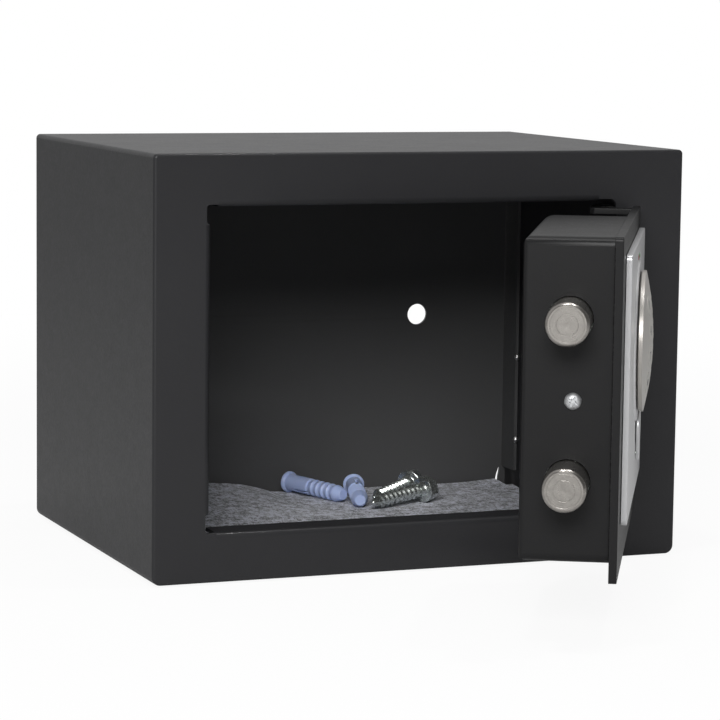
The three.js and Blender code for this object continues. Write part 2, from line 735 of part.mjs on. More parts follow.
function boltBar() {
  const half = BOLT_SPACING / 2 + BAR_EXTRA;
  const upright = block(
    BAR_LEFT,
    BAR_RIGHT,
    BAR_FRONT,
    YOKE_BACK,
    HOUSING_MIDDLE - half,
    HOUSING_MIDDLE + half,
  );
  const pinX = KNOB_X - BOLT_THROW / 2;
  const slotLow = KNOB_Z + CRANK_RADIUS * Math.cos(HALF_TURN) - YOKE_REACH;
  const slotHigh = YOKE_TOP - YOKE_RIM;
  const yoke = block(
    BAR_LEFT,
    pinX + YOKE_REACH + YOKE_RIM,
    YOKE_FRONT,
    YOKE_BACK,
    slotLow - YOKE_RIM,
    YOKE_TOP,
  );
  const slot = prism(
    roundedRect(pinX - YOKE_REACH, pinX + YOKE_REACH, slotLow, slotHigh, YOKE_REACH * 0.98),
    "y",
    YOKE_FRONT - 1,
    YOKE_BACK + 1,
  );
  return piece("bolt_bar", cut(join(upright, yoke), slot), zincSteel);
}

// Hub, arm and pin, and a lug that the raised plunger stops; its far side is a ramp for the way back.
function crank() {
  const hub = CRANK_HUB / 2;
  const boss = CRANK_PIN / 2 + CRANK_RIM;
  const span = [CRANK_FRONT, CRANK_BACK];
  const at = (x, z) => [KNOB_X + x, KNOB_Z + z];
  const offset = -CRANK_RADIUS * Math.sin(HALF_TURN);
  const rise = CRANK_RADIUS * Math.cos(HALF_TURN);
  const pinCentre = [KNOB_X + offset, 0, KNOB_Z + rise];
  const across = [rise / CRANK_RADIUS, -offset / CRANK_RADIUS];
  const arm = polygon([
    at(-across[0] * hub, -across[1] * hub),
    at(across[0] * hub, across[1] * hub),
    at(offset + across[0] * boss, rise + across[1] * boss),
    at(offset - across[0] * boss, rise - across[1] * boss),
  ]);
  const flank = PLUNGER / 2 + YOKE_PLAY;
  const flankAngle = -THREE.MathUtils.radToDeg(Math.acos(flank / CRANK_REACH));
  const lug = polygon([
    at(flank, 0),
    ...arc([0, 0], CRANK_REACH, flankAngle, LUG_END, FEW_STEPS / 2).map(([x, z]) => at(x, z)),
    at(hub * Math.cos(Math.PI / 12), 0),
  ]);
  const plate = join(
    rod(CRANK_HUB, "y", ...span, [KNOB_X, 0, KNOB_Z]),
    rod(2 * boss, "y", ...span, pinCentre),
    prism(arm, "y", ...span),
    prism(lug, "y", ...span),
  );
  const bore = rod(SPINDLE + 2 * GAP, "y", CRANK_FRONT - 1, CRANK_BACK + 1, [KNOB_X, 0, KNOB_Z]);
  const pin = rod(CRANK_PIN, "y", CRANK_FRONT + GAP, YOKE_BACK + CRANK_PIN_PROUD, pinCentre, FEW_STEPS);
  return piece("crank", join(cut(plate, bore), pin), darkSteel);
}

function spindle() {
  const tube = cut(
    rod(SPINDLE, "y", KNOB_REAR + GAP, CRANK_BACK, [KNOB_X, 0, KNOB_Z]),
    rod(SPINDLE_BORE, "y", KNOB_REAR - 1, CRANK_BACK + 1, [KNOB_X, 0, KNOB_Z], FEW_STEPS),
  );
  return piece("knob_spindle", tube, darkSteel);
}

// Panel, knob and keys
function controlPanel() {
  const inset = PANEL_EDGE;
  const outline = roundedRect(
    PANEL_LEFT,
    PANEL_LEFT + PANEL_WIDTH,
    PANEL_BOTTOM,
    PANEL_TOP,
    PANEL_CORNER,
  );
  const bevel = {
    bevelEnabled: true,
    bevelThickness: inset,
    bevelSize: inset,
    bevelOffset: -inset,
    bevelSegments: 2,
  };
  const whole = prism(outline, "y", -PANEL_FRONT + inset, PANEL_FRONT, bevel);
  const behind = block(
    PANEL_LEFT - 1,
    PANEL_LEFT + PANEL_WIDTH + 1,
    -GAP,
    PANEL_FRONT * 3,
    PANEL_BOTTOM - 1,
    PANEL_TOP + 1,
  );
  const boss = rod(BOSS, "y", -PANEL_FRONT - BOSS_HEIGHT, -GAP - PANEL_EDGE, [KNOB_X, 0, KNOB_Z]);
  let panel = join(cut(whole, behind), boss);
  const span = [-PANEL_FRONT - BOSS_HEIGHT - 1, 1];
  panel = cut(
    panel,
    rod(SPINDLE + 2 * SPINDLE_PLAY, "y", ...span, [KNOB_X, 0, KNOB_Z]),
    rod(LOCK_BODY + 2 * SLIDE_GAP, "y", ...span, [LOCK_X, 0, LOCK_Z]),
    rod(COVER_PIN + 2 * GAP, "y", ...span, [LOCK_X, 0, LOCK_Z - COVER_DROP], FEW_STEPS),
  );
  for (const side of [-1, 1]) {
    const centre = [KNOB_X + (side * LAMP_PITCH) / 2, 0, lampHeight()];
    panel = cut(panel, rod(LAMP + 2 * GAP, "y", ...span, centre, FEW_STEPS));
  }
  return piece("control_panel", panel, panelSilver);
}

function lampHeight() {
  return PANEL_TOP - LAMP_DROP;
}

function lamp(name, side, lens) {
  const centre = [KNOB_X + (side * LAMP_PITCH) / 2, 0, lampHeight()];
  return piece(name, rod(LAMP, "y", -PANEL_FRONT, -PANEL_FRONT + LAMP_LENGTH, centre, FEW_STEPS), lens);
}

// The knob's shallow dome, moved out by the amount given.
function dome(outward) {
  const radius = KNOB / 2;
  const sphere = (radius * radius + KNOB_CROWN * KNOB_CROWN) / (2 * KNOB_CROWN);
  const profile = [[0, KNOB_FRONT - outward]];
  const rings = 6;
  for (let i = 1; i <= rings; i++) {
    const r = (radius * i) / rings;
    const drop = sphere - Math.sqrt(sphere * sphere - r * r);
    profile.push([r, KNOB_FRONT - outward + drop]);
  }
  profile.push([radius, KNOB_REAR], [0, KNOB_REAR]);
  return turned(profile, "y", [KNOB_X, 0, KNOB_Z], STEPS + 8);
}

function keyPlaces() {
  const places = [];
  for (let row = 0; row < KEY_ROWS; row++) {
    for (let column = 0; column < KEY_COLUMNS; column++) {
      const x = KNOB_X + (column - (KEY_COLUMNS - 1) / 2) * KEY_PITCH_X;
      const z = KNOB_Z - (row - (KEY_ROWS - 1) / 2) * KEY_PITCH_Z;
      places.push([x, 0, z]);
    }
  }
  return places;
}

function knobDisc() {
  let disc = dome(0);
  const floor = KNOB_REAR - KEY_FLOOR;
  for (const centre of keyPlaces()) {
    disc = cut(disc, rod(KEY + 2 * KEY_CLEARANCE, "y", KNOB_FRONT - 1, floor, centre, FEW_STEPS));
  }
  return piece("knob_disc", disc, knobSilver);
}

function keys() {
  const cap = dome(KEY_PROUD);
  const back = KNOB_REAR - KEY_FLOOR - GAP - KEY_TRAVEL;
  return keyPlaces().map((centre, i) => {
    const shape = rod(KEY, "y", KNOB_FRONT - 1, back, centre, FEW_STEPS).intersect(cap);
    return piece("key_" + String(i + 1).padStart(2, "0"), shape, keyRubber);
  });
}

// Emergency lock
function lockBody() {
  const centre = [LOCK_X, 0, LOCK_Z];
  const front = -PANEL_FRONT + GAP;
  const tube = cut(
    rod(LOCK_BODY, "y", front, LOCK_END, centre),
    rod(LOCK_PLUG + 2 * GAP, "y", front - 1, LOCK_END + 1, centre),
  );
  return piece("lock_body", tube, zincSteel);
}

function lockPlug() {
  const centre = [LOCK_X, 0, LOCK_Z];
  const front = -PANEL_FRONT + 2 * GAP;
  const end = LOCK_END + 2 * GAP + TONGUE_THICKNESS;
  const tip = KNOB_X + COLLAR / 2 - TONGUE_LAP;
  const half = TONGUE_HEIGHT / 2;
  const tongue = block(tip, LOCK_X, end - TONGUE_THICKNESS, end, LOCK_Z - half, LOCK_Z + half);
  const keyway = block(
    LOCK_X - KEYWAY_WIDTH / 2,
    LOCK_X + KEYWAY_WIDTH / 2,
    front - 1,
    front + KEYWAY_DEPTH,
    LOCK_Z - KEYWAY_HEIGHT / 2,
    LOCK_Z + KEYWAY_HEIGHT / 2,
  );
  const plug = join(cut(rod(LOCK_PLUG, "y", front, end, centre), keyway), tongue);
  return piece("lock_plug", plug, brass);
}

function keyCover() {
  const radius = COVER / 2;
  const ear = COVER_EAR / 2;
  const low = LOCK_Z - COVER_DROP;
  const lean = THREE.MathUtils.radToDeg(Math.asin((radius - ear) / COVER_DROP));
  const outline = polygon([
    ...arc([LOCK_X, LOCK_Z], radius, -lean, 180 + lean, FEW_STEPS + 8),
    ...arc([LOCK_X, low], ear, 180 + lean, 360 - lean, FEW_STEPS / 2),
  ]);
  const back = -PANEL_FRONT - GAP;
  const front = back - COVER_THICKNESS;
  const hole = rod(COVER_PIN + 2 * GAP, "y", front - 1, back + 1, [LOCK_X, 0, low], FEW_STEPS);
  return piece("key_cover", cut(prism(outline, "y", front, back), hole), panelSilver);
}

function coverPin() {
  const front = -PANEL_FRONT - GAP - COVER_THICKNESS;
  const centre = [LOCK_X, 0, LOCK_Z - COVER_DROP];
  return piece("cover_pin", rod(COVER_PIN, "y", front, -2 * GAP, centre, FEW_STEPS), zincSteel);
}

// Latch solenoid under the crank
function latchPlunger() {
  const radius = PLUNGER / 2;
  const foot = COLLAR_TOP - COLLAR_THICKNESS - COLLAR_TAIL;
  const profile = [
    [0, foot],
    [radius, foot],
    [radius, COLLAR_TOP - COLLAR_THICKNESS],
    [COLLAR / 2, COLLAR_TOP - COLLAR_THICKNESS],
    [COLLAR / 2, COLLAR_TOP],
    [radius, COLLAR_TOP],
    [radius, PLUNGER_REST - GAP],
    [radius - GAP, PLUNGER_REST],
    [0, PLUNGER_REST],
  ];
  const plunger = turned(profile, "z", [KNOB_X, PLUNGER_BACK, 0], FEW_STEPS + 8);
  return piece("latch_plunger", plunger, zincSteel);
}

function solenoidCoil() {
  const half = COIL_WIDTH / 2;
  const back = COIL_FRONT + COIL_DEPTH;
  const bore = rod(PLUNGER + 2 * GAP, "z", COIL_BOTTOM - 1, COIL_TOP + 1, [KNOB_X, PLUNGER_BACK, 0]);
  const coil = block(KNOB_X - half, KNOB_X + half, COIL_FRONT, back, COIL_BOTTOM, COIL_TOP);
  return piece("solenoid_coil", cut(coil, bore), blackPlastic);
}

function solenoidBracket() {
  const half = COIL_WIDTH / 2;
  const [x0, x1] = [KNOB_X - half, KNOB_X + half];
  const high = COIL_BOTTOM - GAP;
  const low = high - COIL_SHELF;
  const back = COIL_FRONT + COIL_DEPTH;
  const shelf = block(x0, x1, HOUSING_FRONT, back, low, high);
  const foot = block(x0, x1, HOUSING_FRONT, HOUSING_FRONT + COIL_SHELF, low, COIL_TOP);
  const hole = rod(PLUNGER + 2 * GAP, "z", low - 1, high + 1, [KNOB_X, PLUNGER_BACK, 0]);
  return piece("solenoid_bracket", cut(join(shelf, foot), hole), zincSteel);
}

// Electronics and batteries
function circuitBoard() {
  const right = KNOB_X - BOARD_KNOB_GAP;
  const left = right - BOARD_WIDTH;
  const high = HOUSING_TOP - HOUSING_SHEET - BOARD_TOP_GAP;
  const low = high - BOARD_HEIGHT;
  const front = HOUSING_FRONT + BOARD_STANDOFF;
  const back = front + BOARD_THICKNESS;
  const parts = [
    [0.12, 0.4, 0.55, 0.82],
    [0.55, 0.88, 0.62, 0.9],
    [0.15, 0.35, 0.12, 0.36],
    [0.5, 0.62, 0.15, 0.4],
    [0.72, 0.9, 0.12, 0.42],
  ];
  let board = block(left, right, front, back, low, high);
  for (const [a, b, c, d] of parts) {
    const chip = block(
      left + a * BOARD_WIDTH,
      left + b * BOARD_WIDTH,
      front + BOARD_THICKNESS / 2,
      back + BOARD_PARTS_HEIGHT,
      low + c * BOARD_HEIGHT,
      low + d * BOARD_HEIGHT,
    );
    board = join(board, chip);
  }
  for (const [a, c] of [[0.06, 0.06], [0.94, 0.06], [0.06, 0.94], [0.94, 0.94]]) {
    const post = [left + a * BOARD_WIDTH, 0, low + c * BOARD_HEIGHT];
    board = join(board, rod(BOARD_STANDOFF * 2, "y", HOUSING_FRONT + GAP, back, post, FEW_STEPS / 2));
  }
  return piece("circuit_board", board, boardGreen);
}

function boxSize() {
  const across = 2 * CELL_PITCH + 2 * BOX_WALL;
  const deep = 2 * CELL_PITCH + BOX_WALL;
  const tall = CELL_LENGTH + CELL_NUB_HEIGHT + 2 * BOX_WALL + 2 * GAP;
  return [across, deep, tall];
}

function boxCorner() {
  const left = BAR_RIGHT + BOLT_THROW + BOX_GAP;
  return [left, HOUSING_FRONT + GAP, HOUSING_BOTTOM + HOUSING_SHEET + GAP];
}

function batteryCentre() {
  const [across, , tall] = boxSize();
  const [left, , low] = boxCorner();
  return [left + across / 2, low + tall / 2];
}

function batteryBox() {
  const [across, deep, tall] = boxSize();
  const [left, front, low] = boxCorner();
  const outer = block(left, left + across, front, front + deep, low, low + tall);
  const inner = block(
    left + BOX_WALL,
    left + across - BOX_WALL,
    front + BOX_WALL,
    front + deep + 1,
    low + BOX_WALL,
    low + tall - BOX_WALL,
  );
  return piece("battery_box", cut(outer, inner), blackPlastic);
}

function cells() {
  const [left, front, low] = boxCorner();
  const radius = CELL / 2;
  const made = [];
  for (let i = 0; i < 4; i++) {
    const x = left + BOX_WALL + CELL_PITCH * (0.5 + (i % 2));
    const y = front + BOX_WALL + CELL_PITCH * (0.5 + Math.floor(i / 2));
    const up = i % 3 === 0;
    const base = low + BOX_WALL + GAP;
    const end = base + CELL_LENGTH;
    const nub = end + CELL_NUB_HEIGHT;
    const profile = [
      [0, base],
      [radius, base],
      [radius, end],
      [CELL_NUB / 2, end],
      [CELL_NUB / 2, nub],
      [0, nub],
    ].map(([r, along]) => [r, up ? along : base + nub - along]);
    made.push(piece("cell_" + (i + 1), turned(profile, "z", [x, y, 0], FEW_STEPS + 2), cellSleeve));
  }
  return made;
}

function batteryDoor() {
  const [x0, x1, z0, z1] = batteryDoorSpan(0);
  const door = block(x0, x1, HOUSING_BACK - HOUSING_SHEET, HOUSING_BACK, z0, z1);
  return piece("battery_door", door, blackPlastic);
}

function resetButton() {
  const centre = [RESET_X, 0, RESET_Z];
  const parts = HOUSING_FRONT + BOARD_STANDOFF + BOARD_THICKNESS + BOARD_PARTS_HEIGHT;
  const tip = parts + RESET_TRAVEL + GAP;
  const neck = HOUSING_BACK - HOUSING_SHEET;
  const end = HOUSING_BACK + RESET_PROUD;
  const profile = [
    [0, tip],
    [RESET_STEM / 2, tip],
    [RESET_STEM / 2, neck],
    [RESET_CAP / 2, neck],
    [RESET_CAP / 2, end],
    [0, end],
  ];
  return piece("reset_button", turned(profile, "y", centre, FEW_STEPS), blackPlastic);
}

// Loose fixings: each is made along X from its head and laid on the mat
function laid(mesh, right, fromBack, degrees, radius, tipRadius, length) {
  const dip = Math.asin((radius - tipRadius) / length);
  const holder = new THREE.Group();
  holder.add(mesh);
  mesh.rotation.y = dip;
  holder.rotation.z = THREE.MathUtils.degToRad(degrees);
  holder.position.set(right, BODY_DEPTH - fromBack, MAT_TOP + GAP + radius / Math.cos(dip));
  return holder;
}

function wallPlug(name) {
  const body = PLUG / 2;
  const collar = PLUG_COLLAR / 2;
  const neck = PLUG_LAST_RIB - PLUG_RIBS * PLUG_RIB_PITCH;
  const profile = [[0, 0], [collar, 0], [collar, PLUG_COLLAR_THICKNESS]];
  profile.push([body, PLUG_COLLAR_THICKNESS + 0.6], [body, neck]);
  for (let i = 0; i < PLUG_RIBS; i++) {
    const start = neck + i * PLUG_RIB_PITCH;
    profile.push([body * 0.82, start + 0.4], [body, start + PLUG_RIB_PITCH - 0.2]);
  }
  profile.push([PLUG_TIP / 2, PLUG_LENGTH], [0, PLUG_LENGTH]);
  const middle = PLUG_LENGTH / 2;
  const plug = cut(
    turned(profile, "x", [0, 0, 0], FEW_STEPS + 4),
    rod(PLUG_BORE, "x", -1, PLUG_BORE_DEPTH, [0, 0, 0], FEW_STEPS),
    block(PLUG_LENGTH * 0.22, PLUG_LENGTH * 0.72, -PLUG, PLUG, -PLUG_SLIT / 2, PLUG_SLIT / 2),
    block(middle, PLUG_LENGTH * 0.9, -PLUG_SLIT / 2, PLUG_SLIT / 2, 0, PLUG),
  );
  return piece(name, plug, plugPlastic);
}

function lagScrew(name) {
  const shank = LAG_SHANK / 2;
  const root = LAG_ROOT / 2;
  const flange = LAG_WASHER_THICKNESS;
  const hexTop = -LAG_HEX_HEIGHT;
  const profile = [[0, -GAP], [LAG_WASHER / 2, 0], [LAG_WASHER / 2, flange * 0.5]];
  profile.push([shank + 0.8, flange], [shank, flange + 0.6], [shank, flange + LAG_NECK]);
  const threadStart = flange + LAG_NECK;
  const threadEnd = LAG_LENGTH - LAG_POINT;
  const turns = Math.floor((threadEnd - threadStart) / LAG_PITCH);
  for (let i = 0; i < turns; i++) {
    const start = threadStart + i * LAG_PITCH;
    profile.push([root, start + 0.5], [root, start + LAG_PITCH * 0.55]);
    profile.push([shank, start + LAG_PITCH * 0.85]);
  }
  profile.push([root, threadEnd + 0.3], [0, LAG_LENGTH]);
  const corner = LAG_HEX / Math.sqrt(3);
  const hex = polygon(arc([0, 0], corner, 30, 330, 5));
  const head = prism(hex, "x", hexTop, 0);
  return piece(name, join(turned(profile, "x", [0, 0, 0], FEW_STEPS), head), zincSteel);
}

function looseFixings() {
  const plugFit = [PLUG_COLLAR / 2, PLUG / 2, PLUG_LAST_RIB];
  const lagFit = [LAG_WASHER / 2, LAG_SHANK / 2, LAG_LENGTH];
  return [
    laid(wallPlug("wall_plug_1"), PLUG_1_RIGHT, PLUG_1_FROM_BACK, PLUG_1_TURN, ...plugFit),
    laid(wallPlug("wall_plug_2"), PLUG_2_RIGHT, PLUG_2_FROM_BACK, PLUG_2_TURN, ...plugFit),
    laid(lagScrew("lag_screw_1"), LAG_1_RIGHT, LAG_1_FROM_BACK, LAG_1_TURN, ...lagFit),
    laid(lagScrew("lag_screw_2"), LAG_2_RIGHT, LAG_2_FROM_BACK, LAG_2_TURN, ...lagFit),
  ];
}

// Assembly
function bodyGroup() {
  const group = new THREE.Group();
  group.add(bodyShell(), backPanel(), floorMat());
  group.add(piece("hinge_bracket_top", upperBracket(), bodyPaint));
  group.add(piece("hinge_bracket_bottom", flipped(upperBracket()), bodyPaint));
  group.add(piece("hinge_pin_top", upperPin(), darkSteel));
  group.add(piece("hinge_pin_bottom", flipped(upperPin()), darkSteel));
  group.add(...looseFixings());
  return group;
}

function doorGroup() {
  const closed = new THREE.Group();
  closed.position.set(-PIVOT_X, -PIVOT_BACK, 0);
  closed.add(doorPlate(), lockHousing(), boltGuide(), housingTab());
  closed.add(piece("hinge_arm_top", upperArm(), doorPaint));
  closed.add(piece("hinge_arm_bottom", flipped(upperArm()), doorPaint));
  closed.add(panScrew("housing_screw_near", HOUSING_LEFT - GAP, 1));
  closed.add(panScrew("housing_screw_far", HOUSING_RIGHT + GAP, -1));
  closed.add(controlPanel(), lamp("lamp_red", -1, redLens), lamp("lamp_green", 1, greenLens));
  closed.add(knobDisc(), ...keys(), spindle(), crank());
  closed.add(boltBar(), bolt("bolt_upper", 1), bolt("bolt_lower", -1));
  closed.add(lockBody(), lockPlug(), keyCover(), coverPin());
  closed.add(solenoidBracket(), solenoidCoil(), latchPlunger());
  closed.add(circuitBoard(), batteryBox(), ...cells(), batteryDoor(), resetButton());
  const door = new THREE.Group();
  door.add(closed);
  door.position.set(PIVOT_X, PIVOT_BACK, 0);
  door.rotation.z = THREE.MathUtils.degToRad(DOOR_OPEN);
  return door;
}

const safe = new THREE.Group();
safe.name = "furniture_safe";
safe.add(bodyGroup(), doorGroup());
safe.position.y = -BODY_DEPTH / 2;

export default safe;
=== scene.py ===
"""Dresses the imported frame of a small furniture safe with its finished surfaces, lights and camera."""

from __future__ import annotations

import json
import logging
import math
from collections.abc import Callable, Sequence
from dataclasses import dataclass, field
from enum import Enum

import bmesh
import bpy
from mathutils import Matrix, Vector

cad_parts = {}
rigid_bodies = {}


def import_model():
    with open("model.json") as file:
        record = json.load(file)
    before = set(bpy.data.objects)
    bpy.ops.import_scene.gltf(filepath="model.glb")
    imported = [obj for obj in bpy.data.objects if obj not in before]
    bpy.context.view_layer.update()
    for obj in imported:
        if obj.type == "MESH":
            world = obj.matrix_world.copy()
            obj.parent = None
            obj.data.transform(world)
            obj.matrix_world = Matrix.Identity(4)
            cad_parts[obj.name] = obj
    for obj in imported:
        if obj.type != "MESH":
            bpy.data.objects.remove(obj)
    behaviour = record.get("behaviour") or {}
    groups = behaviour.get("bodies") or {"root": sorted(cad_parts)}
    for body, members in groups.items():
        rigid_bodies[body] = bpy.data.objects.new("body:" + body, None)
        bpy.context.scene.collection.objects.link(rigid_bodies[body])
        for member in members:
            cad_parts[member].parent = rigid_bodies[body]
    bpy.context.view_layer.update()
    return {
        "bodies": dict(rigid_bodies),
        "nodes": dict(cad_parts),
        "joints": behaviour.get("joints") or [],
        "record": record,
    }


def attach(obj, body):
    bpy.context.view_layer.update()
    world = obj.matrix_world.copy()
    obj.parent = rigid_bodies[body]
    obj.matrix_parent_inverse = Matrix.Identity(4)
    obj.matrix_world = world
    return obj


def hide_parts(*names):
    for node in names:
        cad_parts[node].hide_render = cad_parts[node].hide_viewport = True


LOG = logging.getLogger("furniture_safe")
MM = 0.001
CLEAR = 1  # How far a cutting tool passes the face that it cuts, in millimetres.
TOUCH = 0.01  # Places closer than this are the same, in millimetres.
FLAT = 0.5  # Faces that turn by fewer degrees are merged before their edges are rounded.
CREASE = 0.5  # Least turn of an edge that is rounded by its place, in radians.
Pair = tuple[float, float]
Triple = tuple[float, float, float]


class Boolean(Enum):
    """How one shape is combined with another."""

    CUT = "DIFFERENCE"
    JOIN = "UNION"
    KEEP = "INTERSECT"


class Ray(Enum):
    """The kinds of ray that the floor and the backdrop answer to."""

    CAMERA = "Is Camera Ray"
    GLOSSY = "Is Glossy Ray"
    THROUGH = "Is Transmission Ray"


class Slot(Enum):
    """The record's material slots."""

    CHARCOAL = "charcoal_paint"
    DOOR_COAT = "door_paint"
    MAT = "grey_mat"
    PANEL = "silver_panel"
    KNOB = "silver_knob"
    BOLT = "bolt_steel"
    ZINC = "zinc_steel"
    DARK_STEEL = "dark_steel"
    BRASS = "lock_brass"
    BLACK = "black_plastic"
    BOARD = "board_green"
    SLEEVE = "cell_sleeve"
    RUBBER = "key_rubber"
    RED = "red_lens"
    GREEN = "green_lens"
    NYLON = "plug_plastic"


class Axis(Enum):
    """The direction in which an outline is pulled or about which a profile is turned."""

    X = 0
    Y = 1
    Z = 2

    def point(self, across: float, up: float, along: float) -> Vector:
        """Puts a drawn point on the plane across this axis.

        Args:
            across: First coordinate of the drawing: Y for X, and X for Y and Z.
            up: Second coordinate of the drawing: Z for X and Y, and Y for Z.
            along: Place on the axis.

        Returns:
            The point in X, Y and Z.
        """
        if self is Axis.X:
            return Vector((along, across, up))
        if self is Axis.Y:
            return Vector((across, along, up))
        return Vector((across, up, along))

    @property
    def vector(self) -> Vector:
        """The unit vector along the axis."""
        return Vector([1.0 if i == self.value else 0.0 for i in range(3)])


@dataclass(frozen=True)
class Space:
    """Where a sub-assembly's own millimetres lie in the row frame.

    Attributes:
        turn: Turn about the vertical, in degrees.
        own: The turning point in the sub-assembly's own X and Y.
        row: The same point in the row frame's X and Y, in millimetres.
    """

    turn: float
    own: Pair
    row: Pair

    @property
    def matrix(self) -> Matrix:
        """Own millimetres to metres of the row frame.

        Returns:
            The matrix.
        """
        turn = Matrix.Rotation(math.radians(self.turn), 4, "Z")
        back = Matrix.Translation((-self.own[0], -self.own[1], 0))
        return Matrix.Scale(MM, 4) @ Matrix.Translation((*self.row, 0)) @ turn @ back


BODY = Space(0, (0, 0), (0, -85))
DOOR = Space(61, (92, 6.5), (92, -78.5))


def linked(name: str, data: bpy.types.ID) -> bpy.types.Object:
    """Makes an object of a mesh, text, light or camera and puts it in the scene.

    Args:
        name: The object's name.
        data: What it holds.

    Returns:
        The object, at the origin.
    """
    obj = bpy.data.objects.new(name, data)
    bpy.context.scene.collection.objects.link(obj)
    return obj


def along_y(at: Pair) -> Triple:
    """The centre of a line along Y through an X and a Z."""
    return (at[0], 0, at[1])


class Shape:
    """A mesh under construction, in millimetres of its own space."""

    def __init__(self, bm: bmesh.types.BMesh) -> None:
        """Takes over a mesh."""
        self.bm = bm

    @classmethod
    def block(cls, x: Pair, y: Pair, z: Pair) -> Shape:
        """A box between two places on each axis.

        Args:
            x: Lowest and highest X.
            y: Lowest and highest Y.
            z: Lowest and highest Z.

        Returns:
            The closed box.
        """
        bm = bmesh.new()
        size = Matrix.Diagonal((x[1] - x[0], y[1] - y[0], z[1] - z[0], 1))
        middle = Matrix.Translation(((x[0] + x[1]) / 2, (y[0] + y[1]) / 2, (z[0] + z[1]) / 2))
        bmesh.ops.create_cube(bm, size=1, matrix=middle @ size)
        return cls(bm)

    @classmethod
    def slab(cls, corners: list[Pair], axis: Axis, span: Pair, radii: list[float] | float = 0) -> Shape:
        """An outline with rounded corners pulled along an axis.

        Args:
            corners: The outline's corners.
            axis: The axis that it is pulled along.
            span: Lowest and highest place on the axis.
            radii: How far each corner's rounding reaches along its sides, or one value for all.

        Returns:
            The closed slab.
        """
        reach = radii if isinstance(radii, list) else [radii] * len(corners)
        bm = bmesh.new()
        verts = [bm.verts.new(axis.point(a, b, span[0])) for a, b in corners]
        bm.faces.new(verts)
        for size in sorted(set(reach) - {0}):
            chosen = [v for v, r in zip(verts, reach) if r == size]
            bmesh.ops.bevel(
                bm, geom=chosen, offset=size, offset_type="OFFSET", segments=7, profile=0.5,
                affect="VERTICES", material=-1,
            )
        return cls(bm).pulled(axis, span[1] - span[0])

    def pulled(self, axis: Axis, length: float) -> Shape:
        """Extrudes the open outline into a closed solid.

        Args:
            axis: The axis to pull along.
            length: How far.

        Returns:
            This shape.
        """
        made = bmesh.ops.extrude_face_region(self.bm, geom=self.bm.faces[:], use_keep_orig=True)
        moved = [v for v in made["geom"] if isinstance(v, bmesh.types.BMVert)]
        bmesh.ops.translate(self.bm, verts=moved, vec=axis.vector * length)
        return self.outward()

    @classmethod
    def rectangle(
        cls, a: Pair, b: Pair, axis: Axis, span: Pair, low: float, high: float | None = None
    ) -> Shape:
        """A rounded rectangle pulled along an axis.

        Args:
            a: Lowest and highest first coordinate.
            b: Lowest and highest second coordinate.
            axis: The axis that it is pulled along.
            span: Lowest and highest place on the axis.
            low: Corner radius at the bottom.
            high: Corner radius at the top, or the same as at the bottom.

        Returns:
            The closed slab.
        """
        top = low if high is None else high
        corners = [(a[0], b[0]), (a[1], b[0]), (a[1], b[1]), (a[0], b[1])]
        return cls.slab(corners, axis, span, [low, low, top, top])

    @classmethod
    def turned(
        cls, profile: Sequence[Pair], axis: Axis, centre: Triple = (0, 0, 0), steps: int = 64
    ) -> Shape:
        """A profile turned round an axis.

        Args:
            profile: Radius and place along the axis of each point.
            axis: The turning axis.
            centre: A point on the axis.
            steps: Number of faces round.

        Returns:
            The closed turned body.
        """
        bm = bmesh.new()
        verts = [bm.verts.new(axis.point(r, 0, along)) for r, along in profile]
        edges = [bm.edges.new(pair) for pair in zip(verts, verts[1:])]
        bmesh.ops.spin(
            bm, geom=verts + edges, cent=(0, 0, 0), axis=axis.vector, angle=2 * math.pi,
            steps=steps, use_merge=True,
        )
        bmesh.ops.remove_doubles(bm, verts=bm.verts, dist=1e-4)
        bmesh.ops.translate(bm, verts=bm.verts, vec=centre)
        return cls(bm).outward()

    @classmethod
    def rod(
        cls, diameter: float, axis: Axis, span: Pair, centre: Triple = (0, 0, 0), steps: int = 64
    ) -> Shape:
        """A round rod between two places on an axis, round a centre and with so many steps round."""
        r = diameter / 2
        return cls.turned([(0, span[0]), (r, span[0]), (r, span[1]), (0, span[1])], axis, centre, steps)

    @classmethod
    def hull(cls, *parts: Shape) -> Shape:
        """The convex hull of several shapes.

        Args:
            parts: The shapes to wrap.

        Returns:
            The closed hull.
        """
        whole = parts[0].beside(*parts[1:])
        made = bmesh.ops.convex_hull(whole.bm, input=whole.bm.verts)
        spare = {g for key in ("geom_interior", "geom_unused") for g in made[key]}
        inner = [g for g in spare if isinstance(g, bmesh.types.BMVert)]
        bmesh.ops.delete(whole.bm, geom=inner, context="VERTS")
        return whole.flattened(1).outward()

    @classmethod
    def node(cls, name: str, frame: dict, space: Space) -> Shape:
        """A merged copy of a carried-over solid, brought into its own space.

        Args:
            name: The node's name.
            space: The space to bring it into.

        Returns:
            The copy, with its flat faces whole.
        """
        bm = bmesh.new()
        bm.from_mesh(frame["nodes"][name].data)
        bmesh.ops.transform(bm, matrix=space.matrix.inverted(), verts=bm.verts)
        bmesh.ops.remove_doubles(bm, verts=bm.verts, dist=1e-3)
        return cls(bm).flattened(0.6)

    def outward(self) -> Shape:
        """Turns every face outwards."""
        bmesh.ops.recalc_face_normals(self.bm, faces=self.bm.faces)
        return self

    def moved(self, matrix: Matrix) -> Shape:
        """Moves the shape by a matrix."""
        bmesh.ops.transform(self.bm, matrix=matrix, verts=self.bm.verts)
        return self

    def at(self, x: float = 0, y: float = 0, z: float = 0) -> Shape:
        """Shifts the shape."""
        return self.moved(Matrix.Translation((x, y, z)))

    def mesh(self, name: str) -> bpy.types.Mesh:
        """A mesh of this shape.

        Args:
            name: The mesh's name.

        Returns:
            The new mesh; this shape stays as it is.
        """
        mesh = bpy.data.meshes.new(name)
        self.bm.to_mesh(mesh)
        return mesh

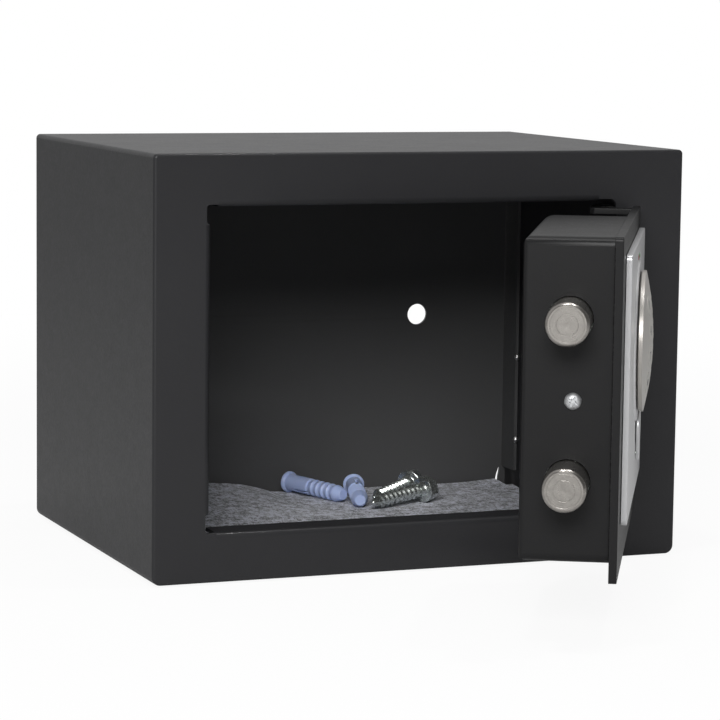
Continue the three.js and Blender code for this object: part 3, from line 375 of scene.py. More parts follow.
    def beside(self, *others: Shape) -> Shape:
        """Adds other shapes to this mesh as they are.

        Args:
            others: Shapes that stay separate shells.

        Returns:
            This shape.
        """
        for other in others:
            mesh = other.mesh("held")
            self.bm.from_mesh(mesh)
            bpy.data.meshes.remove(mesh)
        return self

    def _combined(self, others: tuple[Shape, ...], how: Boolean) -> Shape:
        """This shape after a boolean with each of some others.

        Args:
            others: The other shapes, in order.
            how: What each boolean does.

        Returns:
            This shape.
        """
        for other in others:
            mine, tool = linked("held", self.mesh("held")), linked("held", other.mesh("held"))
            step = mine.modifiers.new("step", "BOOLEAN")
            step.operation, step.solver, step.object = how.value, "EXACT", tool
            graph = bpy.context.evaluated_depsgraph_get()
            mesh = bpy.data.meshes.new_from_object(mine.evaluated_get(graph))
            self.bm.clear()
            self.bm.from_mesh(mesh)
            for spare in (mine.data, tool.data, mesh):
                bpy.data.meshes.remove(spare)
            bmesh.ops.remove_doubles(self.bm, verts=self.bm.verts, dist=2e-4)
            bmesh.ops.dissolve_degenerate(self.bm, edges=self.bm.edges, dist=2e-4)
        return self

    def cut(self, *tools: Shape) -> Shape:
        """Takes other shapes away from this one."""
        return self._combined(tools, Boolean.CUT)

    def joined(self, *others: Shape) -> Shape:
        """Joins other shapes to this one."""
        return self._combined(others, Boolean.JOIN)

    def kept(self, *others: Shape) -> Shape:
        """Keeps what this shape shares with others."""
        return self._combined(others, Boolean.KEEP)

    def flattened(self, degrees: float) -> Shape:
        """Merges neighbouring faces that turn by less than an angle.

        Args:
            degrees: The angle.

        Returns:
            This shape.
        """
        bmesh.ops.dissolve_limit(
            self.bm, angle_limit=math.radians(degrees), verts=self.bm.verts, edges=self.bm.edges
        )
        return self

    def rounded(self, chosen: Callable[[bmesh.types.BMEdge], bool], width: float, segments: int) -> Shape:
        """Rounds the edges that pass a test.

        Args:
            chosen: The test of an edge.
            width: How far the rounding reaches on each side.
            segments: Faces across it.

        Returns:
            This shape.
        """
        self.flattened(FLAT)
        edges = [e for e in self.bm.edges if chosen(e)]
        if edges:
            bmesh.ops.bevel(
                self.bm, geom=edges, offset=width, offset_type="OFFSET", segments=segments, profile=0.5,
                affect="EDGES", clamp_overlap=True, material=-1,
            )
        return self

    def eased(self, width: float, segments: int = 2, angle: float = 40) -> Shape:
        """Rounds every edge that turns by more than an angle, in degrees."""
        least = math.radians(angle)
        return self.rounded(lambda e: e.is_manifold and e.calc_face_angle(0) > least, width, segments)

    def eased_where(self, chosen: Callable[[Vector], bool], width: float, segments: int = 3) -> Shape:
        """Rounds the edges whose two ends both pass a test of a place.

        Args:
            chosen: The test of an end.
            width: How far the rounding reaches on each side.
            segments: Faces across it.

        Returns:
            This shape.
        """
        return self.rounded(
            lambda e: e.calc_face_angle(0) > CREASE and all(chosen(v.co) for v in e.verts), width, segments
        )

    def sliced(self, axis: Axis, pitch: float) -> Shape:
        """Adds evenly spaced edges across an axis, so that the surface can be bent.

        Args:
            axis: The axis across the edges.
            pitch: Millimetres between them.

        Returns:
            This shape.
        """
        places = [v.co[axis.value] for v in self.bm.verts]
        low, high = min(places), max(places)
        for n in range(1, int((high - low) / pitch)):
            whole = self.bm.verts[:] + self.bm.edges[:] + self.bm.faces[:]
            spot = axis.vector * (low + n * pitch)
            bmesh.ops.bisect_plane(self.bm, geom=whole, dist=1e-3, plane_co=spot, plane_no=axis.vector)
        return self

    def piece(
        self, name: str, body: str, space: Space, finish: Finish,
        stands_for: tuple[str, ...] = (), smooth: float = 38,
    ) -> None:
        """Makes the finished object of this shape, at the origin, and lets it ride on a body.

        Args:
            name: The piece's name.
            body: The body that carries it.
            space: The space that its millimetres are in.
            finish: What it is finished with.
            stands_for: Nodes that it stands for.
            smooth: Greatest turn between faces that shade as one surface, in degrees.
        """
        self.moved(space.matrix)
        limit = math.radians(smooth)
        for face in self.bm.faces:
            face.smooth = True
        for edge in self.bm.edges:
            edge.smooth = edge.calc_face_angle(math.pi) < limit
        mesh = self.mesh(name)
        self.bm.free()
        obj = linked(name, mesh)
        obj.modifiers.new("flat_faces_first", "WEIGHTED_NORMAL").keep_sharp = True
        mesh.materials.append(finish.material(space))
        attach(obj, body)
        if stands_for:
            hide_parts(*stands_for)
        mesh.calc_loop_triangles()
        LOG.info("%s on %s: %d triangles", name, body, len(mesh.loop_triangles))


class Value:
    """A socket of a node tree that Python's operators build on."""

    def __init__(self, graph: Graph, socket: bpy.types.NodeSocket) -> None:
        """Wraps an output socket of a graph."""
        self.graph = graph
        self.socket = socket

    def _math(self, operation: str, a: Value | float, b: Value | float) -> Value:
        """One Math node on two numbers."""
        return self.graph.add("ShaderNodeMath", {"operation": operation}, {0: a, 1: b})

    def __add__(self, other: Value | float) -> Value:
        """Sum."""
        return self._math("ADD", self, other)

    __radd__ = __add__

    def __sub__(self, other: Value | float) -> Value:
        """Difference."""
        return self._math("SUBTRACT", self, other)

    def __rsub__(self, other: float) -> Value:
        """Difference from a number."""
        return self._math("SUBTRACT", other, self)

    def __mul__(self, other: Value | float) -> Value:
        """Product."""
        return self._math("MULTIPLY", self, other)

    __rmul__ = __mul__

    def above(self, low: float, high: float) -> Value:
        """Rises smoothly from 0 at a low value to 1 at a high one."""
        inputs = {"Value": self, "From Min": low, "From Max": high}
        return self.graph.add("ShaderNodeMapRange", {"interpolation_type": "SMOOTHSTEP"}, inputs)

    def part(self, name: str) -> Value:
        """One coordinate of a vector, named X, Y or Z."""
        return self.graph.add("ShaderNodeSeparateXYZ", {}, {0: self}, out=name)


class Graph:
    """The node tree of a material or a world."""

    def __init__(self, made: bpy.types.Material | bpy.types.World) -> None:
        """Starts with an empty tree.

        Args:
            made: The material or world that the tree belongs to.
        """
        self.made = made
        self.made.use_nodes = True
        self.tree = self.made.node_tree
        self.tree.nodes.clear()

    def add(
        self, kind: str, settings: dict | None = None, inputs: dict | None = None, out: int | str = 0
    ) -> Value:
        """Adds a node of any type.

        Args:
            kind: The node's type.
            settings: Its properties, which are set first.
            inputs: Values or links of its sockets by name or number.
            out: The output wanted.

        Returns:
            That output.
        """
        node = self.tree.nodes.new(kind)
        for key, value in (settings or {}).items():
            setattr(node, key, value)
        for key, value in (inputs or {}).items():
            if isinstance(value, Value):
                self.tree.links.new(value.socket, node.inputs[key])
            else:
                node.inputs[key].default_value = value
        return Value(self, node.outputs[out])

    def ray(self, kind: Ray) -> Value:
        """1 where the surface is met by one kind of ray, and 0 elsewhere."""
        return self.add("ShaderNodeLightPath", out=kind.value)

    def distance(self, place: Value) -> Value:
        """The length of a vector."""
        return self.add("ShaderNodeVectorMath", {"operation": "LENGTH"}, {0: place}, out="Value")

    def place(self, space: Space, scale: Triple = (1, 1, 1), centre: Triple = (0, 0, 0)) -> Value:
        """The point's place in a space, in millimetres.

        Args:
            space: The space.
            scale: Factor on each axis after centring.
            centre: The point that becomes the origin.

        Returns:
            The vector.
        """
        turn = Matrix.Rotation(math.radians(-space.turn), 4, "Z")
        to_own = {
            "Vector": self.add("ShaderNodeTexCoord", out="Object"),
            "Location": Vector((*space.own, 0)) - turn @ Vector((*space.row, 0)) - Vector(centre),
            "Rotation": (0, 0, math.radians(-space.turn)),
            "Scale": (1 / MM, 1 / MM, 1 / MM),
        }
        own = self.add("ShaderNodeMapping", {"vector_type": "POINT"}, to_own)
        return self.add("ShaderNodeMapping", {"vector_type": "POINT"}, {"Vector": own, "Scale": scale})

    def noise(self, where: Value, scale: float, detail: float = 2, roughness: float = 0.5) -> Value:
        """Noise from 0 to 1 with so many spots per unit of the place, and octaves as asked."""
        inputs = {"Vector": where, "Scale": scale, "Detail": detail, "Roughness": roughness}
        return self.add("ShaderNodeTexNoise", {}, inputs)

    def mixed(self, share: Value | float, a: Value | Triple, b: Value | Triple) -> Value:
        """A colour between two, where a share of 0 gives the first and 1 the second."""
        low, high = (v if isinstance(v, Value) else (*v, 1) for v in (a, b))
        return self.add("ShaderNodeMix", {"data_type": "RGBA"}, {0: share, 6: low, 7: high}, out=2)

    def bump(self, height: Value, depth: float, under: Value | None = None) -> Value:
        """A normal bent by a height.

        Args:
            height: The height from 0 to 1.
            depth: What 1 stands for, in millimetres.
            under: A normal to start from.

        Returns:
            The bent normal.
        """
        inputs = {"Height": height, "Distance": depth * MM, "Strength": 1.0}
        if under is not None:
            inputs["Normal"] = under
        return self.add("ShaderNodeBump", {}, inputs)

    def surface(self, **inputs: Value | float | tuple) -> bpy.types.Material:
        """Ends the graph in a Principled shader.

        Args:
            inputs: Its sockets, with _ for a space.

        Returns:
            The material.
        """
        named = {key.replace("_", " "): value for key, value in inputs.items()}
        for key, value in named.items():
            if isinstance(value, tuple) and len(value) == 3 and key.endswith("Color"):
                named[key] = (*value, 1)
        return self.ended(self.add("ShaderNodeBsdfPrincipled", {}, named))

    def ended(self, shader: Value, kind: str = "ShaderNodeOutputMaterial") -> bpy.types.ID:
        """Links a shader to the output.

        Args:
            shader: The shader.
            kind: The output node's type.

        Returns:
            The material or world that was made.
        """
        end = self.tree.nodes.new(kind)
        self.tree.links.new(shader.socket, end.inputs["Surface"])
        return self.made


@dataclass(frozen=True)
class DoorLayout:
    """What the plate, the housing, the bolts and the panel share, on the closed door.

    Attributes:
        knob: X and Z of the knob's middle.
        knob_hole: Diameter of its hole.
        lock: X and Z of the key lock.
        lock_hole: Diameter of its hole.
        bolts: Y and Z of the two bolts, upper one first.
    """

    knob: Pair = (-1, 101)
    knob_hole: float = 9
    lock: Pair = (11, 66)
    lock_hole: float = 14.7
    bolts: tuple[Pair, Pair] = ((18.7, 117.5), (18.7, 58.5))

    def bores(self, span: Pair) -> list[Shape]:
        """The tools that cut the knob's and the lock's hole between two places on Y."""
        holes = ((self.knob_hole, self.knob), (self.lock_hole, self.lock))
        return [Shape.rod(size, Axis.Y, span, along_y(at)) for size, at in holes]


LAYOUT = DoorLayout()


@dataclass(frozen=True)
class Finish:
    """What every finish has.

    Attributes:
        slot: The record's material slot.
        color: Main colour, linear.
        roughness: Main roughness.
        kind: What sets it apart from another finish of the same slot.
    """

    slot: Slot
    color: Triple
    roughness: float
    kind: str = field(default="plain", kw_only=True)

    def material(self, space: Space) -> bpy.types.Material:
        """The material for pieces of one space, whose millimetres the patterns follow, made once."""
        name = f"{self.slot.value}_{self.kind}_{int(space.turn)}"
        return bpy.data.materials.get(name) or self.shaded(Graph(bpy.data.materials.new(name)), space)

    def shaded(self, graph: Graph, space: Space) -> bpy.types.Material:
        """Builds the material; each kind of finish has its own."""
        raise NotImplementedError

    def tone(self, factor: float) -> Triple:
        """The main colour made lighter or darker."""
        return tuple(c * factor for c in self.color)


@dataclass(frozen=True)
class PowderCoat(Finish):
    """Satin powder coat with the fine grain of a cured powder.

    Attributes:
        grain: Spots per millimetre.
        depth: Depth of the grain in millimetres.
        shine: Strength of the reflection, where 0.5 is plain varnish.
        varnish: Weight of the glossier top layer.
        polish: Roughness of that layer.
    """

    grain: float = 0.9
    depth: float = 0.06
    shine: float = 0.2
    varnish: float = 0.2
    polish: float = 0.13

    def shaded(self, graph: Graph, space: Space) -> bpy.types.Material:
        """Builds the coat: cloudy tone, grain in the bump and in the gloss.

        Args:
            graph: The material's empty graph.
            space: The space whose millimetres the patterns follow.

        Returns:
            The finished material.
        """
        where = graph.place(space)
        cloud = graph.noise(where, 0.02, detail=3)
        wear = graph.noise(graph.place(space, (1, 1, 1.6)), 0.12, detail=5, roughness=0.6)
        grain = graph.noise(where, self.grain, detail=3, roughness=0.6)
        fleck = graph.noise(where, self.grain * 2.3, detail=1).above(0.62, 0.74)
        tone = graph.mixed(cloud, self.tone(0.92), self.tone(1.08))
        color = graph.mixed(fleck * 0.35, tone, self.tone(1.6))
        rough = self.roughness + (grain - 0.5) * 0.2 + (cloud - 0.5) * 0.06 + (wear - 0.5) * 0.1
        return graph.surface(
            Base_Color=color,
            Roughness=rough,
            Normal=graph.bump(grain, self.depth),
            Specular_IOR_Level=self.shine,
            Coat_Weight=self.varnish,
            Coat_Roughness=self.polish,
        )


@dataclass(frozen=True)
class Lacquer(Finish):
    """Metallic lacquer on moulded plastic.

    Attributes:
        metal: How metallic it looks.
        flakes: Flakes per millimetre.
        depth: Height of the flakes in millimetres.
        clear: Weight and roughness of the clear coat.
    """

    metal: float = 0.55
    flakes: float = 7
    depth: float = 0.002
    clear: Pair = (0.25, 0.25)

    def shaded(self, graph: Graph, space: Space) -> bpy.types.Material:
        """Builds the lacquer: fine metal flakes under a thin clear coat.

        Args:
            graph: The material's empty graph.
            space: The space whose millimetres the patterns follow.

        Returns:
            The finished material.
        """
        where = graph.place(space)
        flake = graph.noise(where, self.flakes, roughness=0.7)
        cloud = graph.noise(where, 0.05)
        color = graph.mixed(flake.above(0.3, 0.7), self.tone(0.93), self.tone(1.07))
        rough = self.roughness + (flake - 0.5) * 0.12 + (cloud - 0.5) * 0.05
        return graph.surface(
            Base_Color=color,
            Roughness=rough,
            Metallic=self.metal,
            Normal=graph.bump(flake, self.depth),
            Coat_Weight=self.clear[0],
            Coat_Roughness=self.clear[1],
        )


@dataclass(frozen=True)
class TurnedSteel(Finish):
    """Steel bar with turning marks round the bar's axis.

    Attributes:
        bars: Y and Z of the axis of each bar, which runs along X.
        pitch: Millimetres between marks.
        reach: How far from the axis the marks reach.
        fade: Over how far they fade out beyond that.
        depth: Depth of the marks and streaks, in millimetres.
    """

    bars: tuple[Pair, Pair] = LAYOUT.bolts
    pitch: float = 0.8
    reach: float = 8.2
    fade: float = 2
    depth: float = 0.006

    def rings(self, graph: Graph, space: Space, bar: Pair) -> Value:
        """The turning marks round one bar.

        Args:
            graph: The graph to build in.
            space: The space whose millimetres the marks follow.
            bar: Y and Z of the bar's axis.

        Returns:
            The height of the marks, from 0 to 1.
        """
        radius = graph.distance(graph.place(space, (0, 1, 1), (0, *bar)))
        wave = graph.add("ShaderNodeMath", {"operation": "SINE"}, {0: radius * (2 * math.pi / self.pitch)})
        near = 1 - radius.above(self.reach, self.reach + self.fade)
        return (wave * 0.5 + 0.5) * near

    def shaded(self, graph: Graph, space: Space) -> bpy.types.Material:
        """Builds the steel: rings on the end face, streaks along the bar.

        Args:
            graph: The material's empty graph.
            space: The space whose millimetres the patterns follow.

        Returns:
            The finished material.
        """
        upper, lower = (self.rings(graph, space, bar) for bar in self.bars)
        grime = graph.noise(graph.place(space), 0.35, detail=4, roughness=0.6)
        streak = graph.noise(graph.place(space, (0.25, 3, 3)), 1, detail=3, roughness=0.6)
        rough = self.roughness + (streak - 0.5) * 0.2 + (grime - 0.5) * 0.15
        return graph.surface(
            Base_Color=graph.mixed(grime.above(0.35, 0.75), self.color, self.tone(0.82)),
            Roughness=rough,
            Metallic=1.0,
            Normal=graph.bump(upper + lower, self.depth, graph.bump(streak, self.depth)),
        )


@dataclass(frozen=True)
class PlatedMetal(Finish):
    """Plated or bare metal with small clouds and handling marks.

    Attributes:
        clouds: Spots per millimetre.
        metal: How metallic it looks; a chalky zinc coat is less than bare metal.
        crystals: Crystals per millimetre.
        depth: Height of the crystals in millimetres.
    """

    clouds: float = 0.5
    metal: float = 1.0
    crystals: float = 6
    depth: float = 0.004

    def shaded(self, graph: Graph, space: Space) -> bpy.types.Material:
        """Builds the metal: clouds in tone and gloss, and a fine crystal bump.

        Args:
            graph: The material's empty graph.
            space: The space whose millimetres the patterns follow.

        Returns:
            The finished material.
        """
        where = graph.place(space)
        cloud = graph.noise(where, self.clouds, detail=4, roughness=0.6)
        grain = graph.noise(where, self.crystals, roughness=0.6)
        color = graph.mixed(cloud.above(0.3, 0.7), self.tone(0.86), self.tone(1.08))
        rough = self.roughness + (cloud - 0.5) * 0.25
        return graph.surface(
            Base_Color=color, Roughness=rough, Metallic=self.metal, Normal=graph.bump(grain, self.depth)
        )


@dataclass(frozen=True)
class Felt(Finish):
    """Needled felt: light and dark fibres that run mostly from side to side.

    Attributes:
        light: Factor of the lightest fibres.
        dark: Factor of the darkest fibres.
        nap: Height of the nap in millimetres.
        sheen: Weight and roughness of the fibres' sheen.
        shine: Strength of the reflection.
    """

    light: float = 2.2
    dark: float = 0.22
    nap: float = 0.35
    sheen: Pair = (0.25, 0.6)
    shine: float = 0.15

    def shaded(self, graph: Graph, space: Space) -> bpy.types.Material:
        """Builds the felt: two layers of long fibre streaks and a soft nap.

        Args:
            graph: The material's empty graph.
            space: The space whose millimetres the patterns follow.

        Returns:
            The finished material.
        """
        long = graph.noise(graph.place(space, (0.2, 0.16, 0.3)), 1.5, detail=5, roughness=0.8)
        crossed = graph.noise(graph.place(space, (0.7, 0.2, 0.4)), 2.2, detail=4, roughness=0.8)
        patch = graph.noise(graph.place(space), 0.06)
        fibre = (long * 0.55 + crossed * 0.45 + (patch - 0.5) * 0.12).above(0.42, 0.58)
        color = graph.mixed(fibre, self.tone(self.dark), self.tone(self.light))
        nap = graph.noise(graph.place(space), 2.6, detail=3, roughness=0.7)
        return graph.surface(
            Base_Color=color,
            Roughness=self.roughness,
            Normal=graph.bump(long * 0.5 + nap * 0.5, self.nap),
            Sheen_Weight=self.sheen[0],
            Sheen_Roughness=self.sheen[1],
            Specular_IOR_Level=self.shine,
        )


@dataclass(frozen=True)
class Moulded(Finish):
    """Moulded plastic or rubber with a fine spark-eroded grain.

    Attributes:
        grain: Spots per millimetre.
        depth: Depth of the grain in millimetres.
        glow: Share of light that passes below the surface.
        glow_depth: How far that light reaches, in metres.
    """

    grain: float = 3.0
    depth: float = 0.012
    glow: float = 0.0
    glow_depth: float = 0.0015

    def shaded(self, graph: Graph, space: Space) -> bpy.types.Material:
        """Builds the plastic: even colour with slight clouds and a grain.

        Args:
            graph: The material's empty graph.
            space: The space whose millimetres the patterns follow.

        Returns:
            The finished material.
        """
        where = graph.place(space)
        grain = graph.noise(where, self.grain, roughness=0.6)
        cloud = graph.noise(where, 0.12)
        color = graph.mixed(cloud, self.tone(0.94), self.tone(1.07))
        rough = self.roughness + (grain - 0.5) * 0.14
        return graph.surface(
            Base_Color=color,
            Roughness=rough,
            Normal=graph.bump(grain, self.depth),
            Subsurface_Weight=self.glow,
            Subsurface_Radius=(0.6, 0.8, 1.0),
            Subsurface_Scale=self.glow_depth,
        )


@dataclass(frozen=True)
class Lens(Finish):
    """A clear tinted lamp lens.

    Attributes:
        gloss: Weight of the glossy top layer.
        index: Index of refraction.
    """

    gloss: float = 0.6
    index: float = 1.5

    def shaded(self, graph: Graph, space: Space) -> bpy.types.Material:
        """Builds the lens: tinted, glossy and a little cloudy inside.

        Args:
            graph: The material's empty graph.
            space: The space whose millimetres the patterns follow.

        Returns:
            The finished material.
        """
        cloud = graph.noise(graph.place(space), 2.0)
        color = graph.mixed(cloud, self.tone(0.8), self.tone(1.2))
        return graph.surface(
            Base_Color=color, Roughness=self.roughness, Coat_Weight=self.gloss, IOR=self.index
        )


@dataclass(frozen=True)
class SolderMask(Finish):
    """Circuit board lacquer with tracks showing through.

    Attributes:
        tracks: Rows of tracks per millimetre.
        gap: Width of the gaps between tracks, as a share of a row.
        gloss: Weight of the glossy top layer.
    """

    tracks: float = 0.45
    gap: float = 0.08
    gloss: float = 0.3

    def shaded(self, graph: Graph, space: Space) -> bpy.types.Material:
        """Builds the board: straight tracks under a green lacquer.

        Args:
            graph: The material's empty graph.
            space: The space whose millimetres the patterns follow.

        Returns:
            The finished material.
        """
        bars = graph.add(
            "ShaderNodeTexBrick",
            {"offset": 0.5},
            {
                "Vector": graph.place(space),
                "Scale": self.tracks,
                "Mortar Size": self.gap,
                "Color1": (*self.color, 1),
                "Color2": (*self.tone(0.7), 1),
                "Mortar": (*self.tone(1.5), 1),
            },
            out="Color",
        )
        grain = graph.noise(graph.place(space), 2)
        rough = self.roughness + grain * 0.1
        return graph.surface(Base_Color=bars, Roughness=rough, Coat_Weight=self.gloss)


CHARCOAL = PowderCoat(Slot.CHARCOAL, (0.0195, 0.0195, 0.0212), 0.5)
# Painted light: a lighter copy of the charcoal coat for the back tray, standing in for the light that reaches
# the inside back wall.
INNER_COAT_PAINTED_LIGHT = PowderCoat(Slot.CHARCOAL, (0.068, 0.068, 0.069), 0.55, kind="inner")
DOOR_COAT = PowderCoat(
    Slot.DOOR_COAT, (0.0095, 0.0095, 0.0099), 0.42, grain=1.1, depth=0.05, shine=0.1, polish=0.38
)
MAT_FELT = Felt(Slot.MAT, (0.305, 0.313, 0.358), 0.97)
PANEL_SILVER = Lacquer(Slot.PANEL, (0.63, 0.63, 0.64), 0.34)
KNOB_SILVER = Lacquer(Slot.KNOB, (0.47, 0.45, 0.42), 0.38)
BOLT_STEEL = TurnedSteel(Slot.BOLT, (0.4, 0.379, 0.353), 0.3)
ZINC = PlatedMetal(Slot.ZINC, (0.76, 0.8, 0.77), 0.26, metal=0.92)
DULL_ZINC = PlatedMetal(Slot.ZINC, (0.6, 0.61, 0.62), 0.5, metal=0.85, kind="dull")
DARK_STEEL = PlatedMetal(Slot.DARK_STEEL, (0.2, 0.2, 0.205), 0.42)
WELD = PlatedMetal(Slot.DARK_STEEL, (0.5, 0.5, 0.49), 0.4, clouds=1.5, kind="weld")
BRASS = PlatedMetal(Slot.BRASS, (0.6, 0.42, 0.16), 0.35)
BLACK = Moulded(Slot.BLACK, (0.018, 0.018, 0.019), 0.5)
BOARD = SolderMask(Slot.BOARD, (0.012, 0.1, 0.045), 0.4)
SLEEVE = Moulded(Slot.SLEEVE, (0.02, 0.07, 0.06), 0.3, depth=0.002)
RUBBER = Moulded(Slot.RUBBER, (0.44, 0.43, 0.4), 0.5)
RED = Lens(Slot.RED, (0.22, 0.012, 0.012), 0.15)
GREEN = Lens(Slot.GREEN, (0.02, 0.17, 0.035), 0.15)
NYLON = Moulded(Slot.NYLON, (0.43, 0.52, 0.8), 0.4, grain=1.5, depth=0.02, glow=0.25)
FIGURE = Moulded(Slot.RUBBER, (0.09, 0.09, 0.095), 0.5, kind="figure")
FINISH_OF = {
    finish.slot.value: finish
    for finish in (
        CHARCOAL, DOOR_COAT, MAT_FELT, PANEL_SILVER, KNOB_SILVER, BOLT_STEEL, ZINC, DARK_STEEL,
        BRASS, BLACK, BOARD, SLEEVE, RUBBER, RED, GREEN, NYLON,
    )
}


@dataclass
class SteelBody:
    """The folded shell, the back panel and the mat, in millimetres from the front face.

    Attributes:
        sheet: Thickness of the steel.
        low_bend: Outer radius of the tube's lower bends.
        high_bend: Outer radius of its upper bends.
        front_edge: Rounding of the border's outer edge.
        rim_spare: How far inside the bends an edge still counts as the border's outer edge.
        lip_bend: Outer radius of the folds at the opening.
        long_flange: How far the top and bottom folds reach back.
        side_flange: How far the left fold reaches back.
        relief: How far a fold stops short of the opening's corner.
        left_relief: The same, at the left ends of the top and bottom folds.
        fold_in: How far the top and left folds stand in from the opening's cut edge.
        corner_out: How far the reliefs in the opening's left corners are cut to the left.
        corner_height: Height of these reliefs.
        corner_round: Radius of their corners.
        hole: Diameter of every fixing hole.
        back_set_in: How far the back panel lies inside the shell's rear edge.
        back_flange: Depth of its flanges.
        notch: Width and height of what its corners and the mat's corners leave out.
        notch_spare: How far a notch is cut into the flange's bend.
        relief_cut: Outline of the sliver that stands open at each of its corners.
        fold_slit: Width of the slits along its side bends.
        slit_length: Length of one slit.
        slit_bridge: Steel left between two slits.
        weld: Profile of a spot weld.
        weld_proud: How far a weld stands in front of its flange.
        gap: Play between the shell, the back panel and the mat.
        mat_pitch: Distance between the edges along which the mat can bend.
        mat_still: Height of the mat's lowest layer, which never lifts.
        left_lift: How high the mat's left half curls up at the back.
        right_lift: How high its right edge rises at the back.
        right_dip: How deep its right edge dips before that.
        ripple: Height of its slight waves.
    """

    width: float = 230
    depth: float = 170
    height: float = 170
    sheet: float = 1.5
    low_bend: float = 3.6
    high_bend: float = 1.8
    front_edge: float = 1.3
    rim_spare: float = 0.1
    opening_x: Pair = (-92, 84.5)
    opening_z: Pair = (20, 150)
    opening_corner: float = 3
    lip_bend: float = 2.4
    long_flange: float = 14
    side_flange: float = 8
    relief: float = 8
    left_relief: float = 3.6
    fold_in: float = 0.8
    corner_out: float = 1.2
    corner_height: float = 7.6
    corner_round: float = 1.4
    floor_holes: tuple[Pair, Pair] = ((-67, 92), (67, 92))
    back_holes: tuple[Pair, Pair] = ((-67, 85.5), (67, 85.5))
    hole: float = 9.6
    back_set_in: float = 0.4
    back_flange: float = 13
    notch: Pair = (3.6, 10)
    notch_spare: float = 0.1
    relief_cut: tuple[Pair, ...] = (
        (2.5, 9.8), (3.3, 9.8), (4.4, 6.8), (5.1, 3.4), (5.3, -1), (3.6, -1), (3.3, 5),
    )
    fold_slit: float = 0.34
    slit_length: float = 46
    slit_bridge: float = 0.5
    weld: tuple[Pair, ...] = ((0, -1.6), (0.8, -1.3), (1.3, 0), (0.9, 1.2), (0, 1.7))
    weld_heights: Pair = (26.4, 65.3)
    weld_proud: float = 0.1
    gap: float = 0.3
    mat_thickness: float = 3.8
    mat_side_gap: float = 0.6
    mat_end_gap: float = 2
    mat_pitch: float = 7
    mat_still: float = 1
    left_lift: float = 7
    right_lift: float = 1.5
    right_dip: float = 1.3
    ripple: float = 0.12

    def lip(self, inward: float, depth: float, length: Pair, axis: Axis) -> Shape:
        """A border's edge folded back into the opening.

        Args:
            inward: 1 where the sheet lies above or right of the edge, and -1 below or left.
            depth: How far the fold reaches back.
            length: The fold's lowest and highest place along the edge.
            axis: The axis along the edge.

        Returns:
            The fold, with the edge at 0.
        """
        far = inward * (self.lip_bend + self.gap)
        wall = inward * self.sheet
        corners = [(0, far), (0, 0), (depth, 0), (depth, wall), (self.sheet, wall), (self.sheet, far)]
        radii = [0, self.lip_bend, 0, 0, self.lip_bend - self.sheet, 0]
        if axis is Axis.Z:
            corners = [(b, a) for a, b in corners]
        return Shape.slab(corners, axis, length, radii)

    def shell(self) -> None:
        """Builds the folded tube with its border, folds and floor holes."""
        half, inner = self.width / 2, self.width / 2 - self.sheet
        outer = Shape.rectangle(
            (-half, half), (0, self.height), Axis.Y, (0, self.depth), self.low_bend, self.high_bend
        )
        hollow = Shape.rectangle(
            (-inner, inner), (self.sheet, self.height - self.sheet), Axis.Y,
            (self.sheet, self.depth + CLEAR), self.low_bend - self.sheet, self.high_bend - self.sheet,
        )
        through = (-CLEAR, self.sheet + CLEAR)
        opening = Shape.rectangle(self.opening_x, self.opening_z, Axis.Y, through, self.opening_corner)
        left, (low, high) = self.opening_x[0], self.opening_z
        x = (left + self.left_relief, self.opening_x[1] - self.relief)
        z = (low + self.relief, high - self.relief)
        top_fold, side_fold = high - self.fold_in, left + self.fold_in
        shell = outer.cut(
            hollow,
            opening,
            Shape.block(x, through, (high - CLEAR, top_fold + self.lip_bend)),
            Shape.block(x, through, (low - self.lip_bend, low + CLEAR)),
            Shape.block((side_fold - self.lip_bend, left + CLEAR), through, z),
        )
        bend = self.corner_round
        corner_x = (left - self.corner_out, left + 2 * bend + CLEAR)
        for corner_z in ((low, low + self.corner_height), (high - self.corner_height, high)):
            shell.cut(Shape.rectangle(corner_x, corner_z, Axis.Y, through, bend))
        rim = self.low_bend + self.rim_spare
        shell.eased_where(
            lambda at: abs(at.y) < TOUCH and (abs(at.x) > half - rim or not rim < at.z < self.height - rim),
            self.front_edge,
            segments=5,
        )
        shell.eased(0.5, segments=3, angle=60)
        shell.joined(
            self.lip(1, self.long_flange, x, Axis.X).at(z=top_fold),
            self.lip(-1, self.long_flange, x, Axis.X).at(z=low),
            self.lip(-1, self.side_flange, z, Axis.Z).at(x=side_fold),
        )
        for hole in self.floor_holes:
            shell.cut(Shape.rod(self.hole, Axis.Z, through, (*hole, 0)))
        shell.piece("steel_shell", "body", BODY, CHARCOAL, ("body_shell",))

